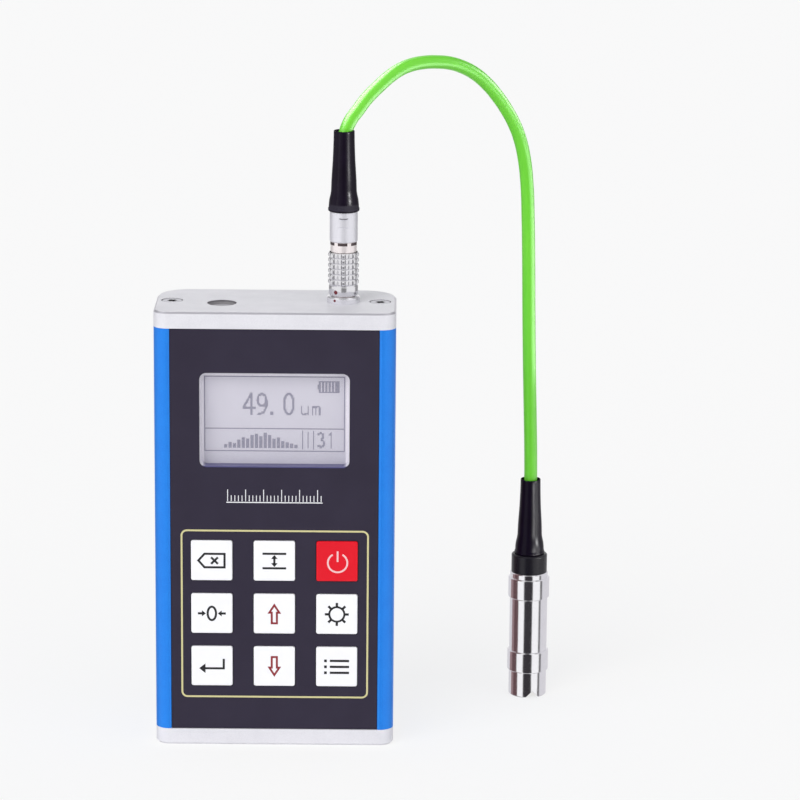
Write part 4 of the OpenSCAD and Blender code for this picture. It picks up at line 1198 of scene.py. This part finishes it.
def light_surroundings():
    """White to the camera and in glass; for gloss, a white room with grey screens and a dark ceiling."""
    world = bpy.data.worlds.new("studio")
    bpy.context.scene.world = world
    world.use_nodes = True
    room = Tree(world.node_tree)
    way = room.node("ShaderNodeTexCoord", out="Generated")
    split = room.node("ShaderNodeSeparateXYZ", None, {0: way}).socket.node
    x, y, z = (Signal(room, socket) for socket in split.outputs)
    turn = x.math("ARCTAN2", x, -1.0 * y) * (180 / math.pi)
    front = turn.step(-20, -12) * (1 - turn.step(20, 28)) * (1 - abs(z).step(0.4, 0.5))
    flank = abs(turn).step(100, 108) * (1 - abs(turn).step(150, 160))
    ceiling = z.step(0.92, 0.96)
    tone = (1 - front * 0.72) * (1 - flank * 0.66) * (1 - ceiling * 0.75)
    path = room.node("ShaderNodeLightPath").socket.node
    seen = Signal(room, path.outputs["Is Camera Ray"]) + Signal(room, path.outputs["Is Transmission Ray"])
    glossy = Signal(room, path.outputs["Is Glossy Ray"])
    ambient = room.node("ShaderNodeBackground", None, {"Color": (0.98, 0.985, 1, 1), "Strength": 0.53})
    mirrored = room.node("ShaderNodeBackground", None,
                         {"Color": room.mix(tone, (0.02, 0.018, 0.024, 1), (1, 1, 1, 1)), "Strength": 1.0})
    backdrop = room.node("ShaderNodeBackground", None, {"Color": (1, 1, 1, 1), "Strength": 1.0})
    mixed = room.node("ShaderNodeMixShader", None, {0: glossy, 1: ambient, 2: mirrored})
    mixed = room.node("ShaderNodeMixShader", None, {0: seen, 1: mixed, 2: backdrop})
    room.node("ShaderNodeOutputWorld", None, {"Surface": mixed})


def hang_lamp(name, turn, lift, spread, strength):
    """A soft far lamp, its turn to the right of the front and its lift in degrees."""
    data = bpy.data.lights.new(name, "SUN")
    data.energy = strength
    data.angle = math.radians(spread)
    turn, lift = math.radians(turn), math.radians(lift)
    way = Vector((math.sin(turn) * math.cos(lift), -math.cos(turn) * math.cos(lift), math.sin(lift)))
    lamp = linked(name, data)
    lamp.rotation_euler = way.to_track_quat("Z", "Y").to_euler()
    lamp.visible_glossy = False


def hang_glint(name, place, aim, size, radiance, *pieces):
    """A flat lamp, placed and aimed in metres, whose light gives only some pieces their highlights."""
    width, height = size
    data = bpy.data.lights.new(name, "AREA")
    data.shape = "RECTANGLE"
    data.size = width
    data.size_y = height
    data.energy = radiance * math.pi * width * height
    lamp = linked(name, data)
    lamp.location = place
    lamp.rotation_euler = (Vector(aim) - Vector(place)).to_track_quat("-Z", "Y").to_euler()
    lamp.visible_camera = lamp.visible_diffuse = False
    group = bpy.data.collections.new(name + "_reach")
    for piece in pieces:
        group.objects.link(piece)
    lamp.light_linking.receiver_collection = group


def card_turn(share):
    """Turn in degrees of what shows in the probe's sleeve at a share of its radius from the middle."""
    lean = math.asin(share)
    start = Vector((share, -math.cos(lean))) * PROBE_SLEEVE_R
    way = Vector((math.sin(2 * lean), -math.cos(2 * lean)))
    along = start.dot(way)
    meet = start + way * (math.sqrt(along ** 2 + CARD_R ** 2 - start.length_squared) - along)
    return math.degrees(math.atan2(meet.x, -meet.y))


def stand_cards():
    """Cards round the probe in dark and light tones, seen only in its polish."""
    tones = {"dark": (0.035, 0.031, 0.036, 1), "maroon": (0.13, 0.072, 0.078, 1), "rose": (0.3, 0.2, 0.21, 1),
             "white": (1, 1, 1, 1), "grey": (0.16, 0.155, 0.16, 1), "pale": (0.72, 0.71, 0.74, 1)}
    cards = ((-0.999, -0.87, "pale"), (-0.87, -0.76, "rose"), (-0.76, -0.55, "maroon"),
             (-0.55, -0.25, "white"), (-0.25, 0.18, "dark"), (0.18, 0.53, "white"), (0.53, 0.63, "grey"),
             (0.63, 0.995, "pale"))
    steps = 12
    low, high = -60, 90
    for i, (first, last, tone) in enumerate(cards):
        paper = Finish("card_" + tone)
        light = paper.node("ShaderNodeEmission", None, {"Color": tones[tone], "Strength": 1.0})
        paper.node("ShaderNodeOutputMaterial", None, {"Surface": light})
        start, end = card_turn(first), card_turn(last)
        points = []
        for k in range(steps + 1):
            angle = math.radians(start + (end - start) * k / steps)
            around = Vector((PROBE.x + CARD_R * math.sin(angle), PROBE.y - CARD_R * math.cos(angle), 0))
            points += [(around + Vector((0, 0, z))) * MM for z in (low, high)]
        faces = [(2 * k, 2 * k + 1, 2 * k + 3, 2 * k + 2) for k in range(steps)]
        mesh = bpy.data.meshes.new("probe_card_%d" % i)
        mesh.from_pydata(points, [], faces)
        mesh.materials.append(paper.material)
        card = linked("probe_card_%d" % i, mesh)
        card.visible_camera = card.visible_diffuse = card.visible_shadow = False
        card.visible_transmission = card.visible_volume_scatter = False


lay_floor()
light_surroundings()
hang_lamp("key_lamp", -35, 33, 50, 1.6)
hang_lamp("fill_lamp", 45, 25, 60, 0.5)
hang_glint("lead_side_lamp", (0.318, 0.01, 0.035), (0.072, 0.033, 0.1), (0.36, 0.2), 6, lead)
hang_glint("lead_shoulder_lamp", (0.347, 0.118, 0.25), (0.067, 0.028, 0.18), (0.2, 0.14), 10, lead)
hang_glint("lead_top_lamp", (-0.23, 0.05, 0.535), (0.03, 0.008, 0.17), (0.7, 0.4), 13, lead)
blacks = (plug_boot, probe_boot, probe_collar)
between_boots = (0.045, 0.017, 0.1)
boot_of_plug, boot_of_probe = (0.019, -0.003, 0.154), (0.072, 0.033, 0.05)
hang_glint("plug_boot_lamp", (0.434, -0.358, 0.214), boot_of_plug, (0.05, 0.05), 600, plug_boot)
hang_glint("probe_boot_lamp", (0.57, -0.21, 0.11), (0.072, 0.033, 0.06), (0.05, 0.05), 600, *blacks[1:])
hang_glint("boot_strip_right", (0.3, -0.27, 0), between_boots, (0.08, 0.5), 2.6, *blacks)
hang_glint("probe_strip", (0.3, -0.27, -0.045), boot_of_probe, (0.015, 0.12), 320, probe_boot)
hang_glint("probe_side", (0.44, -0.06, -0.045), boot_of_probe, (0.03, 0.12), 130, probe_boot)
hang_glint("boot_strip_left", (-0.26, -0.22, 0), between_boots, (0.05, 0.5), 3, *blacks)
stand_cards()
bpy.context.scene.view_settings.view_transform = "Standard"
